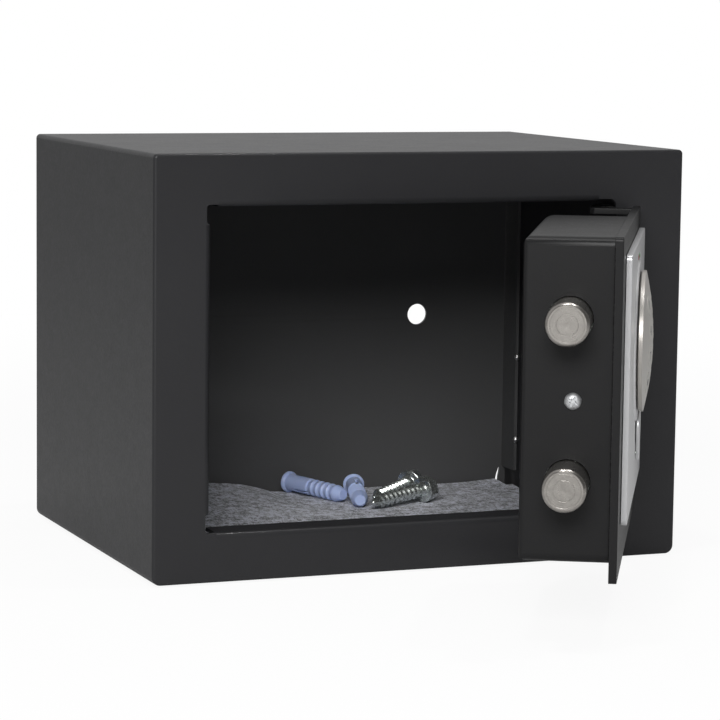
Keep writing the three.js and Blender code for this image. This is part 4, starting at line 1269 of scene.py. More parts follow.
    def back(self) -> None:
        """Builds the tray that closes the back, with its notched corners and slits."""
        half = self.width / 2 - self.sheet - self.gap
        low, high = self.sheet + self.gap, self.height - self.sheet - self.gap
        rear = self.depth - self.back_set_in
        wall, inside = rear - self.sheet, half - self.sheet
        front, through = wall - self.back_flange, (wall - CLEAR, rear + CLEAR)
        tray = Shape.block((-half, half), (front, rear), (low, high))
        tray.cut(Shape.block((-inside, inside), (front - CLEAR, wall), (low - CLEAR, high - self.sheet)))
        tall = self.notch[1]
        for side in (-1, 1):
            for start, up in ((low, 1), (high, -1)):
                cut = [(side * (half - inward), start + up * z) for inward, z in self.relief_cut]
                tray.cut(Shape.slab(cut, Axis.Y, through))
                x = sorted((side * (half + self.gap), side * (inside - self.notch_spare)))
                z = sorted((start - up, start + up * tall))
                tray.cut(Shape.block(tuple(x), (front - CLEAR, wall), tuple(z)))
        for hole in self.back_holes:
            tray.cut(Shape.rod(self.hole, Axis.Y, through, along_y(hole)))
        for side in (-1, 1):
            x = tuple(sorted((side * inside, side * (inside - self.fold_slit))))
            start = low + tall + self.slit_bridge
            while start + self.slit_length < high - tall:
                tray.cut(Shape.block(x, through, (start, start + self.slit_length)))
                start += self.slit_length + self.slit_bridge
        tray.eased(0.35, segments=2, angle=60)
        # The tray wears the lighter charcoal copy, which is painted light for the brightness inside the box.
        tray.piece("back_tray", "body", BODY, INNER_COAT_PAINTED_LIGHT, ("back_panel",))
        self.spot_welds(half - self.sheet / 2, front - self.weld_proud)

    def spot_welds(self, out: float, y: float) -> None:
        """Builds the welds that hold the back panel's side flanges.

        Args:
            out: How far from the middle they lie.
            y: Their place from front to back.
        """
        for side, word in ((-1, "left"), (1, "right")):
            for n, z in enumerate(self.weld_heights):
                spot = Shape.turned(self.weld, Axis.Z, (side * out, y, z), steps=20)
                spot.piece(f"spot_weld_{word}_{n + 1}", "body", BODY, WELD)

    def lift(self, across: float, along: float) -> float:
        """How far the felt has lifted or sunk at a place.

        Args:
            across: -1 at the left edge and 1 at the right.
            along: 0 at the front edge and 1 at the back.

        Returns:
            Millimetres, at most 7 up at the left of the back.
        """
        # The left half curls up towards the back; the right tenth dips, then rises at the back.
        right, left = max(0.0, across - 0.8) * 5, max(0.0, -0.02 - across) ** 2
        rise = right * max(0.0, along - 0.86) * 7
        dip = right * math.exp(-((along - 0.72) * 7) ** 2)
        wave = math.sin(across * 7 + 1) * math.sin(along * 9 + across * 3)
        curl = left / (left + 0.014) * max(0.0, (along - 0.25) / 0.75) ** 1.5
        return self.right_lift * rise + self.left_lift * curl - self.right_dip * dip + self.ripple * wave

    def mat(self) -> None:
        """Builds the felt mat with its softened edges and uneven top."""
        half = self.width / 2 - self.mat_side_gap - self.low_bend
        narrow = half - self.notch[0] + self.gap
        front = self.sheet + self.mat_end_gap
        back = self.depth - self.back_set_in - self.sheet - self.mat_end_gap
        step = back - self.back_flange
        low = self.sheet + self.gap
        corners = [(-half, front), (half, front), (half, step), (narrow, step)]
        corners += [(narrow, back), (-narrow, back), (-narrow, step), (-half, step)]
        mat = Shape.slab(corners, Axis.Z, (low, low + self.mat_thickness))
        mat.eased(0.9, segments=3, angle=60)
        mat.sliced(Axis.X, self.mat_pitch).sliced(Axis.Y, self.mat_pitch)
        for vert in mat.bm.verts:
            high = (vert.co.z - low - self.mat_still) / (self.mat_thickness - self.mat_still)
            share = min(1, max(0, high))
            vert.co.z += share * self.lift(vert.co.x / half, (vert.co.y - front) / (back - front))
        mat.piece("felt_mat", "body", BODY, MAT_FELT, ("floor_mat",))

    def build(self) -> None:
        """Builds every piece of the body."""
        self.shell()
        self.back()
        self.mat()


@dataclass
class LooseFixings:
    """The wall plugs and hexagon screws that lie on the mat.

    Attributes:
        mat_top: Height of the mat's face.
        gap: Room left under a fixing.
        last_rib: Where a plug's last rib ends, from its head.
        plug_tip: Diameter of a plug's far end.
        rib: Points of one rib: share of the plug's radius, and place from the rib's start.
        plug: Diameter of a plug's barrel.
        bore: Diameter of its bore.
        side_slit: Span of the slit through both its sides, as shares of its length.
        under_slit: Span of the slit in its lower side, as shares of its length.
        plug_places: X and Y of each plug's head, its turn and its roll, in degrees.
        lag: Diameter of a screw's thread.
        root: Diameter of its core.
        pitch: Distance between two turns of the thread.
        pitch_steps: Faces in one turn.
        washer: Diameter of the washer face.
        hexagon: Width across the head's flats.
        head: Height of the head.
        lag_places: X and Y of each screw's head, its turn and its roll, in degrees.
    """

    mat_top: float = 5.6
    gap: float = 0.3
    plug_length: float = 38
    last_rib: float = 34
    plug_tip: float = 4.8
    ribs: int = 5
    rib_pitch: float = 3.6
    rib: tuple[Pair, ...] = ((0.82, 0.45), (0.83, 1.1), (0.98, 2.9), (1, 3.4))
    plug: float = 7.6
    collar: float = 9.6
    bore: float = 4.2
    bore_depth: float = 30
    side_slit: Pair = (0.2, 0.44)
    under_slit: Pair = (0.42, 0.9)
    plug_places: tuple[tuple[float, ...], ...] = ((2, 163, -69.7, 35), (28, 147.5, -107, 85))
    lag_length: float = 34
    lag: float = 6.2
    root: float = 4.6
    pitch: float = 2.8
    pitch_steps: int = 26
    crest_width: float = 0.24
    washer: float = 11.4
    hexagon: float = 10
    head: float = 4.6
    lag_places: tuple[tuple[float, ...], ...] = ((50.7, 119, 203.3, 12), (52, 139, 218.8, 37))

    def laid(self, place: tuple[float, ...], radius: float, tip: float, length: float) -> Matrix:
        """Where a fixing made along X from its head lies on the mat.

        Args:
            place: X and Y of the head, the turn and the roll.
            radius: Radius at the head.
            tip: Radius at the far end.
            length: Length between the two.

        Returns:
            The matrix from its own millimetres to the body's.
        """
        x, y, turn, roll = place
        dip = math.asin((radius - tip) / length)
        spot = Matrix.Translation((x, y, self.mat_top + self.gap + radius / math.cos(dip)))
        turned = spot @ Matrix.Rotation(math.radians(turn), 4, "Z") @ Matrix.Rotation(dip, 4, "Y")
        return turned @ Matrix.Rotation(math.radians(roll), 4, "X")

    def wall_plug(self) -> Shape:
        """Builds one plug: collar, slit barrel, ribs and tapered tip.

        Returns:
            The plug, along X from its collar at 0.
        """
        r, rim, tip, length = self.plug / 2, self.collar / 2, self.plug_tip / 2, self.plug_length
        start = self.last_rib - self.ribs * self.rib_pitch
        profile = [(0, 0), (rim - 0.5, 0), (rim, 0.3), (rim, 1.1), (r, 1.9), (r, start)]
        for n in range(self.ribs):
            profile += [(r * share, start + n * self.rib_pitch + along) for share, along in self.rib]
        profile += [(r * 0.96, self.last_rib + 0.4), (tip + 0.35, length - 0.6), (tip - 0.1, length)]
        side, under = ((length * low, length * high) for low, high in (self.side_slit, self.under_slit))
        return Shape.turned(profile + [(0, length)], Axis.X, steps=48).cut(
            Shape.rod(self.bore, Axis.X, (-CLEAR, self.bore_depth), steps=32),
            Shape.rectangle(side, (-0.6, 0.6), Axis.Y, (-self.plug, self.plug), 0.4),
            Shape.rectangle(under, (-0.5, 0.5), Axis.Z, (-self.plug, 0), 0.4),
        )

    def hexagon_screw(self) -> Shape:
        """Builds one screw: hexagon head with a washer face, shank and coarse helical thread.

        Returns:
            The screw, along X from its washer face at 0.
        """
        shank, root, rim, end = self.lag / 2, self.root / 2, self.washer / 2, self.lag_length
        profile = [(0, -0.2), (rim - 0.3, 0), (rim, 0.3), (rim, 0.8), (rim - 0.3, 1.05), (shank + 0.5, 1.2)]
        profile += [(shank, 1.6), (shank * 0.9, 2.4), (root, 3.2), (root, end - 5), (root * 0.55, end - 1.6)]
        core = Shape.turned(profile + [(0, end)], Axis.X, steps=48)
        corner = self.hexagon / math.sqrt(3)
        corners = [math.radians(angle) for angle in range(30, 390, 60)]
        sides = [(corner * math.cos(a), corner * math.sin(a)) for a in corners]
        brow = corner + 0.2
        dome = [(0, -4.9), (3.2, -4.85), (corner - 0.7, -4.2), (brow, -3.6), (brow, CLEAR), (0, CLEAR)]
        head = Shape.slab(sides, Axis.X, (-self.head, 0.1)).kept(Shape.turned(dome, Axis.X))
        head.eased(0.18, segments=2, angle=25)
        return core.beside(head, self.thread(3.4, end - 4.5, root, shank))

    def thread(self, start: float, end: float, root: float, crest: float) -> Shape:
        """A helical ridge round X, which sinks a little over its last turn.

        Args:
            start: Where it starts on the axis.
            end: Where it ends.
            root: Radius of its foot.
            crest: Radius of its edge.

        Returns:
            The closed ridge.
        """
        turns = (end - start) / self.pitch
        foot, edge = self.pitch * 0.3, self.crest_width / 2
        section = [(root - 0.25, -foot), (crest, -edge), (crest, edge), (root - 0.25, foot)]
        bm = bmesh.new()
        verts = [bm.verts.new((start + along, 0, r)) for r, along in section]
        edges = [bm.edges.new((verts[i], verts[(i + 1) % 4])) for i in range(4)]
        step = self.pitch / self.pitch_steps
        bmesh.ops.spin(
            bm, geom=verts + edges, cent=(0, 0, 0), axis=(1, 0, 0), dvec=(step, 0, 0),
            angle=2 * math.pi * turns, steps=int(turns * self.pitch_steps), use_merge=False,
        )
        bmesh.ops.holes_fill(bm, edges=[e for e in bm.edges if e.is_boundary], sides=4)
        last = end - self.pitch * 0.4
        for vert in bm.verts:
            sink = 0.25 * min(1.0, max(0.0, vert.co.x - last) / (self.pitch * 0.6))
            vert.co.yz = vert.co.yz * (1 - sink)
        return Shape(bm).outward()

    def build(self) -> None:
        """Lays the two plugs and the two screws."""
        for n, place in enumerate(self.plug_places):
            where = self.laid(place, self.collar / 2, self.plug / 2, self.last_rib)
            plug = self.wall_plug().moved(where)
            plug.piece(f"ribbed_plug_{n + 1}", "body", BODY, NYLON, (f"wall_plug_{n + 1}",), smooth=50)
        for n, place in enumerate(self.lag_places):
            where = self.laid(place, self.washer / 2, self.lag / 2, self.lag_length)
            screw = self.hexagon_screw().moved(where)
            screw.piece(f"hexagon_screw_{n + 1}", "body", BODY, ZINC, (f"lag_screw_{n + 1}",))


@dataclass
class DoorLeaf:
    """The plate, the folded lock housing and what is screwed to it, as on the closed door.

    Attributes:
        corner: Radius of the plate's corners.
        bend: Outer radius of the housing's bends.
        upright_bend: Outer radius of its upright bend beside the bolts.
        taper_run: How far from its hinge end the housing's back slopes.
        taper_drop: How far the back comes forward there.
        taper_bends: Rounding of the slope's two ends.
        seam_y: Span of the groove where the upper flap ends, on the bolts' side.
        seam_drop: How far below the housing's top that groove lies.
        cut_out: How far a tool that cuts the housing's wall starts outside it.
        cut_in: How far it reaches inside.
        screw_at: Y and Z of the two pan-head screws.
        screw_spare: Room between a screw's head and the housing.
        screw_roll: How far the cross recesses are turned, in radians.
        recess: Turn in degrees, width and reach of each cross of a recess.
        grooves: Number of thumb grooves in the battery lid.
        groove_drop: How far below the lid's top the first one lies.
    """

    plate_x: Pair = (-89, 81.5)
    plate_z: Pair = (22.5, 147.5)
    thickness: float = 3
    corner: float = 1.6
    housing_x: Pair = (-84.5, 27)
    housing_z: Pair = (29, 147)
    housing_y: Pair = (3.3, 36)
    sheet: float = 1.5
    bend: float = 3.4
    upright_bend: float = 2
    taper_run: float = 19
    taper_drop: float = 5
    taper_bends: Pair = (1.5, 3)
    seam_y: Pair = (5, 34)
    seam_drop: float = 1.3
    seam_width: float = 0.55
    seam_depth: float = 0.75
    cut_out: float = 2
    cut_in: float = 4
    bolt_hole: float = 16.7
    screw_at: Pair = (17.2, 88)
    screw_hole: float = 3.8
    screw_spare: float = 0.3
    screw_roll: float = 0.5
    pan_radius: float = 3.1
    pan_height: float = 1.9
    recess: tuple[Triple, ...] = ((0, 0.85, 1.9), (45, 0.3, 1.3))
    battery_door_x: Pair = (-46.9, -21.9)
    battery_door_z: Pair = (34.4, 80.4)
    battery_door_gap: float = 0.3
    grooves: int = 4
    groove_pitch: float = 1.9
    groove_drop: float = 5
    groove_reach: float = 6
    groove_width: float = 0.9
    groove_depth: float = 0.4
    reset_at: Pair = (-35, 128)
    reset_hole: float = 6.6

    @property
    def through_back(self) -> Pair:
        """Span on Y of a tool that cuts the housing's back."""
        return (self.housing_y[1] - self.cut_in, self.housing_y[1] + self.cut_out)

    def plate(self) -> None:
        """Builds the door plate with its two round holes."""
        plate = Shape.rectangle(self.plate_x, self.plate_z, Axis.Y, (0, self.thickness), self.corner)
        plate.cut(*LAYOUT.bores((-CLEAR, self.thickness + CLEAR)))
        plate.eased_where(lambda at: at.y > self.thickness - TOUCH, 0.9, segments=4)
        plate.eased(0.3, segments=3, angle=60)
        plate.piece("leaf_plate", "door", DOOR, DOOR_COAT, ("door_plate",))

    def folded(self, inset: float) -> Shape:
        """The housing's outside, or its inside at the sheet's thickness.

        Args:
            inset: How far inside the outer face.

        Returns:
            The block between its faces.
        """
        x = (self.housing_x[0] + inset, self.housing_x[1] - inset)
        z = (self.housing_z[0] + inset, self.housing_z[1] - inset)
        front = self.housing_y[0] if inset == 0 else 0
        back = self.housing_y[1] - inset
        bend = self.bend - inset
        slope = [(x[1], back - self.taper_drop), (x[1] - self.taper_run, back)]
        outline = [(x[0], front), (x[1], front), *slope, (x[0], back)]
        plan = Shape.slab(outline, Axis.Z, z, [0, 0, *self.taper_bends, self.upright_bend - inset])
        ends = [(front, z[0]), (back, z[0]), (back, z[1]), (front, z[1])]
        side = Shape.slab(ends, Axis.X, x, [0, bend, bend, 0])
        return plan.kept(side, Shape.rectangle(x, z, Axis.Y, (front, back), bend))

    def housing(self) -> None:
        """Builds the folded housing with its holes and the seam of its upper flap."""
        housing = self.folded(0).cut(self.folded(self.sheet))
        left, right = self.housing_x
        near, far = (left - self.cut_out, left + self.cut_in), (right - self.cut_in, right + self.cut_out)
        for bolt in LAYOUT.bolts:
            housing.cut(Shape.rod(self.bolt_hole, Axis.X, near, (0, *bolt)))
        for wall in (near, far):
            housing.cut(Shape.rod(self.screw_hole, Axis.X, wall, (0, *self.screw_at), steps=32))
        x, z = (
            (low - self.battery_door_gap, high + self.battery_door_gap)
            for low, high in (self.battery_door_x, self.battery_door_z)
        )
        reset = Shape.rod(self.reset_hole, Axis.Y, self.through_back, along_y(self.reset_at), steps=40)
        housing.cut(Shape.block(x, self.through_back, z), reset)
        top = self.housing_z[1] - self.seam_drop
        seam_x = (left - CLEAR, left + self.seam_depth)
        housing.cut(Shape.rectangle(self.seam_y, (top - self.seam_width, top), Axis.X, seam_x, 0.2))
        housing.eased(0.3, segments=3, angle=50)
        housing.piece("lock_case", "door", DOOR, DOOR_COAT, ("lock_housing",))

    def pan_screw(self, name: str, seat: float, turn: float) -> None:
        """Builds a zinc pan-head screw with a cross recess.

        Args:
            name: The node that it stands for.
            seat: Where the head rests, on X.
            turn: 0 where the screw points to +X, and half a turn, in radians, to -X.
        """
        r, tall = self.pan_radius, self.pan_height
        crown = [(0, 1), (0.35, 0.99), (0.7, 0.88), (0.92, 0.5)]
        profile = [(r * out, -tall * up) for out, up in crown]
        profile += [(r, -0.2), (r, 0), (1.6, 0), (1.6, 7), (0.8, 8), (0, 8)]
        screw = Shape.turned(profile, Axis.X, steps=40)
        for angle, wide, reach in self.recess:
            for quarter in (0, 90):
                arm = Shape.block((-tall - CLEAR, -tall * 0.42), (-reach, reach), (-wide / 2, wide / 2))
                screw.cut(arm.moved(Matrix.Rotation(math.radians(angle + quarter), 4, "X")))
        screw.eased(0.07, segments=1, angle=50)
        place = Matrix.Translation((seat, *self.screw_at)) @ Matrix.Rotation(turn, 4, "Z")
        screw.moved(place @ Matrix.Rotation(self.screw_roll, 4, "X"))
        screw.piece("cross_" + name, "door", DOOR, DULL_ZINC, (name,))

    def battery_lid(self) -> None:
        """Builds the lid over the cells, with its thumb grooves."""
        x, z, rear = self.battery_door_x, self.battery_door_z, self.housing_y[1]
        lid = Shape.rectangle(x, z, Axis.Y, (rear - self.sheet, rear), 1.2)
        middle, deep = (x[0] + x[1]) / 2, (rear - self.groove_depth, rear + CLEAR)
        wide = (middle - self.groove_reach, middle + self.groove_reach)
        for n in range(self.grooves):
            low = z[1] - self.groove_drop - n * self.groove_pitch
            lid.cut(Shape.rectangle(wide, (low, low + self.groove_width), Axis.Y, deep, 0.4))
        lid.eased(0.2, segments=2, angle=50).piece("cell_lid", "door", DOOR, BLACK, ("battery_door",))

    def reset(self) -> None:
        """Builds the rubber reset button in the housing's back."""
        rear = self.housing_y[1]
        profile = [(0, 10.0), (1.5, 10.0), (1.5, rear - 1.5), (3, rear - 1.5), (3, rear + 0.6)]
        profile += [(2.7, rear + 0.9), (1.6, rear + 0.8), (0, rear + 0.55)]
        button = Shape.turned(profile, Axis.Y, along_y(self.reset_at), steps=40)
        button.piece("code_button", "reset", DOOR, BLACK, ("reset_button",))

    def build(self) -> None:
        """Builds every piece of the leaf."""
        self.plate()
        self.housing()
        self.pan_screw("housing_screw_near", self.housing_x[0] - self.screw_spare, 0)
        self.pan_screw("housing_screw_far", self.housing_x[1] + self.screw_spare, math.pi)
        self.battery_lid()
        self.reset()


@dataclass
class BoltPair:
    """The two round bolts.

    Attributes:
        ends: X of the thrown end and of the inner end, on the closed door.
        diameter: A bolt's diameter.
        grooves: Radii of the turned grooves in its end face.
        groove_depth: Their depth.
        names: The nodes, in the order of the layout's bolts.
    """

    ends: Pair = (-104.5, -72.5)
    diameter: float = 16
    grooves: Pair = (3.7, 6.0)
    groove_depth: float = 0.05
    names: tuple[str, str] = ("bolt_upper", "bolt_lower")

    def build(self) -> None:
        """Builds both bolts with a turned, chamfered end."""
        r, (near, far) = self.diameter / 2, self.ends
        profile = [(0, near + 0.12), (0.8, near)]
        for groove in self.grooves:
            deep = near + self.groove_depth
            profile += [(groove, near), (groove + 0.1, deep), (groove + 0.25, deep), (groove + 0.35, near)]
        profile += [(r - 1.1, near), (r - 0.85, near + 0.14), (r - 0.25, near + 0.8), (r, near + 1.4)]
        profile += [(r, far - 0.6), (r - 0.6, far), (0, far)]
        for name, at in zip(self.names, LAYOUT.bolts):
            bolt = Shape.turned(profile, Axis.X, (0, *at), steps=96)
            bolt.piece("round_" + name, "bolts", DOOR, BOLT_STEEL, (name,), smooth=24)


@dataclass
class ControlFront:
    """The silver panel with its knob, keys, lamps and key cover, as on the closed door.

    Attributes:
        boss: Diameter of the raised ring round the knob.
        undercut: How far the knob's rim steps in, and over what height.
        rear: Y of the knob's back.
        shoulder: Y of the dome's rim.
        crown: Height of the dome.
        key: Diameter of a key.
        key_floor: Thickness of the knob behind the keys' holes.
        key_front: Y from which a key's tools start, in front of the dome.
        key_proud: How far a key stands out of the dome.
        key_room: Room behind a key.
        mark: Lowest and highest face of a key's mark.
        bar: Half the width and half the height of the bar mark.
        lamps: Each lamp's node, X and finish.
        lens: Profile of a lens.
        cover_drop: How far the key cover's rivet lies below the key lock.
        cover_ends: Diameters of the cover's two ends.
        cover_dish: Profile of the tool that dishes the cover.
        dish_up: How far above the lock's middle it is dished.
        rivet: Profile of the rivet.
        rivet_cut: Span on Y of the tool that cuts its hole in the cover.
    """

    panel_x: Pair = (-68, 69)
    panel_z: Pair = (40.3, 139.5)
    panel_y: Pair = (-2.5, -0.3)
    corner: float = 2
    boss: float = 62
    boss_height: float = 0.75
    undercut: Pair = (0.8, 0.55)
    knob: float = 54.4
    rear: float = -3.5
    shoulder: float = -5.5
    crown: float = 3.1
    dome_rings: int = 14
    key: float = 7.8
    key_clearance: float = 0.15
    key_pitch: Pair = (11, 9.8)
    key_floor: float = 1.4
    key_front: float = -12
    key_proud: float = 0.1
    key_room: float = 1.1
    mark: Pair = (-0.05, 0.05)
    figure_size: float = 5.2
    dot: float = 2.6
    bar: Pair = (1.7, 0.45)
    lamps: tuple[tuple[str, float, Finish], ...] = (("lamp_red", -5.5, RED), ("lamp_green", 3.5, GREEN))
    lamp_z: float = 133.5
    lamp_hole: float = 3.6
    lens: tuple[Pair, ...] = ((0, -2.9), (0.8, -2.8), (1.3, -2.5), (1.5, -2.1), (1.5, -0.5), (0, -0.5))
    cover_y: Pair = (-4, -2.8)
    cover_drop: float = 10.5
    cover_ends: Pair = (16.4, 5.6)
    cover_dish: tuple[Pair, ...] = ((0, -4.3), (5.2, -4.3), (3.6, -3.75), (0, -3.65))
    dish_up: float = 0.6
    rivet: tuple[Pair, ...] = ((0, -4.0), (0.6, -3.98), (1, -3.8), (1, -0.6), (0, -0.6))
    rivet_hole: float = 2.6
    rivet_cut: Pair = (-5, -2)

    @property
    def sphere(self) -> float:
        """Radius of the sphere that the knob's dome is part of."""
        r = self.knob / 2
        return (r * r + self.crown * self.crown) / (2 * self.crown)

    def fall(self, out: float) -> float:
        """How far the dome has fallen at a distance from its middle."""
        return self.sphere - math.sqrt(self.sphere**2 - out * out)

    def panel(self) -> None:
        """Builds the moulded panel with its bevelled edge, the knob's boss and its holes."""
        front = self.panel_y[0]
        through = (-6, CLEAR)
        panel = Shape.rectangle(self.panel_x, self.panel_z, Axis.Y, self.panel_y, self.corner)
        panel.eased_where(lambda at: abs(at.y - front) < TOUCH, 0.4)
        outer, top = self.boss / 2, front - self.boss_height
        ring = [(0, -1), (outer, -1), (outer, front), (outer - 0.15, top + 0.3), (outer - 0.6, top + 0.06)]
        ring += [(outer - 1.2, top), (0, top)]
        panel.joined(Shape.turned(ring, Axis.Y, along_y(LAYOUT.knob), steps=128))
        low = (LAYOUT.lock[0], 0, LAYOUT.lock[1] - self.cover_drop)
        panel.cut(*LAYOUT.bores(through), Shape.rod(self.rivet_hole, Axis.Y, through, low, steps=24))
        for _, x, _ in self.lamps:
            panel.cut(Shape.rod(self.lamp_hole, Axis.Y, through, (x, 0, self.lamp_z), steps=32))
        panel.eased(0.12, segments=1, angle=55)
        panel.piece("front_panel", "door", DOOR, PANEL_SILVER, ("control_panel",))

    def dome(self, outward: float, spare: float = 0) -> Shape:
        """The knob's shallow dome.

        Args:
            outward: How far the dome is moved out.
            spare: Extra radius, for a tool that only cuts the top.

        Returns:
            The closed dome.
        """
        r, shoulder = self.knob / 2, self.shoulder - outward
        top = shoulder - self.crown
        places = [r * ring / self.dome_rings for ring in range(self.dome_rings + 1)]
        profile = [(place, top + self.fall(place)) for place in places]
        under, tall = self.undercut
        profile += [(r + spare, shoulder), (r + spare, self.rear - tall)]
        profile += [(r + spare - under, self.rear), (0, self.rear)]
        return Shape.turned(profile, Axis.Y, along_y(LAYOUT.knob), steps=128)

    def key_places(self) -> list[Pair]:
        """X and Z of the twelve keys, row by row from the top left."""
        (x, z), (across, down) = LAYOUT.knob, self.key_pitch
        return [(x + (c - 1) * across, z - (row - 1.5) * down) for row in range(4) for c in range(3)]

    def knob_and_keys(self) -> None:
        """Builds the domed knob with its key holes, the keys and their figures."""
        disc = self.dome(0)
        floor = self.rear - self.key_floor
        hole = self.key + 2 * self.key_clearance
        for key in self.key_places():
            disc.cut(Shape.rod(hole, Axis.Y, (self.key_front, floor), along_y(key), steps=48))
        disc.eased(0.14, segments=2, angle=35)
        disc.piece("domed_knob", "knob", DOOR, KNOB_SILVER, ("knob_disc",))
        figures = [*"123456789", "", "0", ""]
        span = (self.key_front, floor - self.key_room)
        for n, (key, figure) in enumerate(zip(self.key_places(), figures)):
            name = f"key_{n + 1:02d}"
            cap = Shape.rod(self.key, Axis.Y, span, along_y(key), steps=48)
            cap.kept(self.dome(self.key_proud, 4)).eased(0.18, segments=2, angle=50)
            cap.piece("cap_" + name, name, DOOR, RUBBER, (name,))
            self.figure(figure, name, *key)

    def figure(self, text: str, key: str, x: float, z: float) -> None:
        """Builds the raised mark of a key: its figure, or a bar or a dot.

        Args:
            text: The figure, or nothing for a plain mark.
            key: The key's name.
            x: The key's middle.
            z: The key's middle.
        """
        if text:
            mark = self.written(text)
        elif key.endswith("10"):
            mark = Shape.rod(self.dot, Axis.Z, self.mark, steps=32)
        else:
            (wide, tall), ends = self.bar, 0.3
            mark = Shape.rectangle((-wide, wide), (-tall, tall), Axis.Z, self.mark, ends)
        across, up = x - LAYOUT.knob[0], z - LAYOUT.knob[1]
        y = self.shoulder - self.crown + self.fall(math.hypot(across, up)) - self.key_proud
        tilt = Matrix.Rotation(-up / self.sphere, 4, "X") @ Matrix.Rotation(across / self.sphere, 4, "Z")
        mark.moved(Matrix.Translation((x, y, z)) @ tilt @ Matrix.Rotation(math.pi / 2, 4, "X"))
        mark.piece("mark_" + key, key, DOOR, FIGURE)

    def written(self, text: str) -> Shape:
        """A figure from Blender's own type, flat on X and Y.

        Args:
            text: The figure.

        Returns:
            The closed figure, as thick as every mark.
        """
        curve = bpy.data.curves.new("figure", "FONT")
        curve.body, curve.size, curve.extrude = text, self.figure_size, self.mark[1]
        curve.align_x, curve.align_y = "CENTER", "CENTER"
        holder = linked("figure", curve)
        mesh = bpy.data.meshes.new_from_object(holder.evaluated_get(bpy.context.evaluated_depsgraph_get()))
        bm = bmesh.new()
        bm.from_mesh(mesh)
        bpy.data.curves.remove(curve)
        bpy.data.meshes.remove(mesh)
        bmesh.ops.remove_doubles(bm, verts=bm.verts, dist=1e-4)
        return Shape(bm)

    def lenses(self) -> None:
        """Builds the two lamp lenses."""
        for name, x, finish in self.lamps:
            lens = Shape.turned(self.lens, Axis.Y, (x, 0, self.lamp_z), steps=32)
            lens.piece("lens_" + name, "door", DOOR, finish, (name,))

    def key_cover(self) -> None:
        """Builds the swinging cover over the key lock and its rivet."""
        x, z = LAYOUT.lock
        high, low = (x, 0, z), (x, 0, z - self.cover_drop)
        broad, narrow = self.cover_ends
        cover = Shape.hull(
            Shape.rod(broad, Axis.Y, self.cover_y, high),
            Shape.rod(narrow, Axis.Y, self.cover_y, low, steps=40),
        )
        cover.cut(Shape.rod(self.rivet_hole, Axis.Y, self.rivet_cut, low, steps=24))
        cover.cut(Shape.turned(self.cover_dish, Axis.Y, (x, 0, z + self.dish_up), steps=48))
        cover.eased(0.3, segments=3, angle=50)
        cover.piece("swing_cover", "cover", DOOR, PANEL_SILVER, ("key_cover",))
        rivet = Shape.turned(self.rivet, Axis.Y, low, steps=24)
        rivet.piece("cover_rivet", "door", DOOR, ZINC, ("cover_pin",))

    def build(self) -> None:
        """Builds every piece of the front."""
        self.panel()
        self.knob_and_keys()
        self.lenses()
        self.key_cover()


@dataclass
class InnerWorks:
    """Solids whose form is right already: their edges are eased and they get their finish.

    Attributes:
        hinge: Nodes that lie in the body's space.
        works: Nodes that lie in the door's space.
    """

    frame: dict
    hinge: tuple[str, ...] = (
        "hinge_bracket_top", "hinge_bracket_bottom", "hinge_pin_top", "hinge_pin_bottom",
    )
    works: tuple[str, ...] = (
        "hinge_arm_top", "hinge_arm_bottom", "bolt_guide", "housing_tab", "bolt_bar", "crank",
        "knob_spindle", "lock_body", "lock_plug", "latch_plunger", "solenoid_coil", "solenoid_bracket",
        "circuit_board", "battery_box", "cell_1", "cell_2", "cell_3", "cell_4",
    )

    def build(self) -> None:
        """Stands an eased copy in for every node of the two lists."""
        record = self.frame["record"]
        slots = {part["node"]: part["material_slot"] for part in record["subparts"]}
        bodies = {node: body for body, nodes in record["behaviour"]["bodies"].items() for node in nodes}
        for space, names in ((BODY, self.hinge), (DOOR, self.works)):
            for name in names:
                shape = Shape.node(name, self.frame, space).eased(0.2, segments=2, angle=50)
                shape.piece("eased_" + name, bodies[name], space, FINISH_OF[slots[name]], (name,))


@dataclass(frozen=True)
class Softbox:
    """A rectangular soft light.

    Attributes:
        name: Its name.
        place: Where it hangs.
        aim: The point that it faces.
        size: Its two sides.
        watts: Its power.
    """

    name: str
    place: Triple
    aim: Triple
    size: Pair
    watts: float

    def hang(self) -> None:
        """Adds the light to the scene."""
        data = bpy.data.lights.new(self.name, "AREA")
        data.shape, data.size, data.size_y, data.energy = "RECTANGLE", *self.size, self.watts
        turn = (Vector(self.aim) - Vector(self.place)).to_track_quat("-Z", "Y")
        linked(self.name, data).matrix_world = Matrix.Translation(self.place) @ turn.to_matrix().to_4x4()


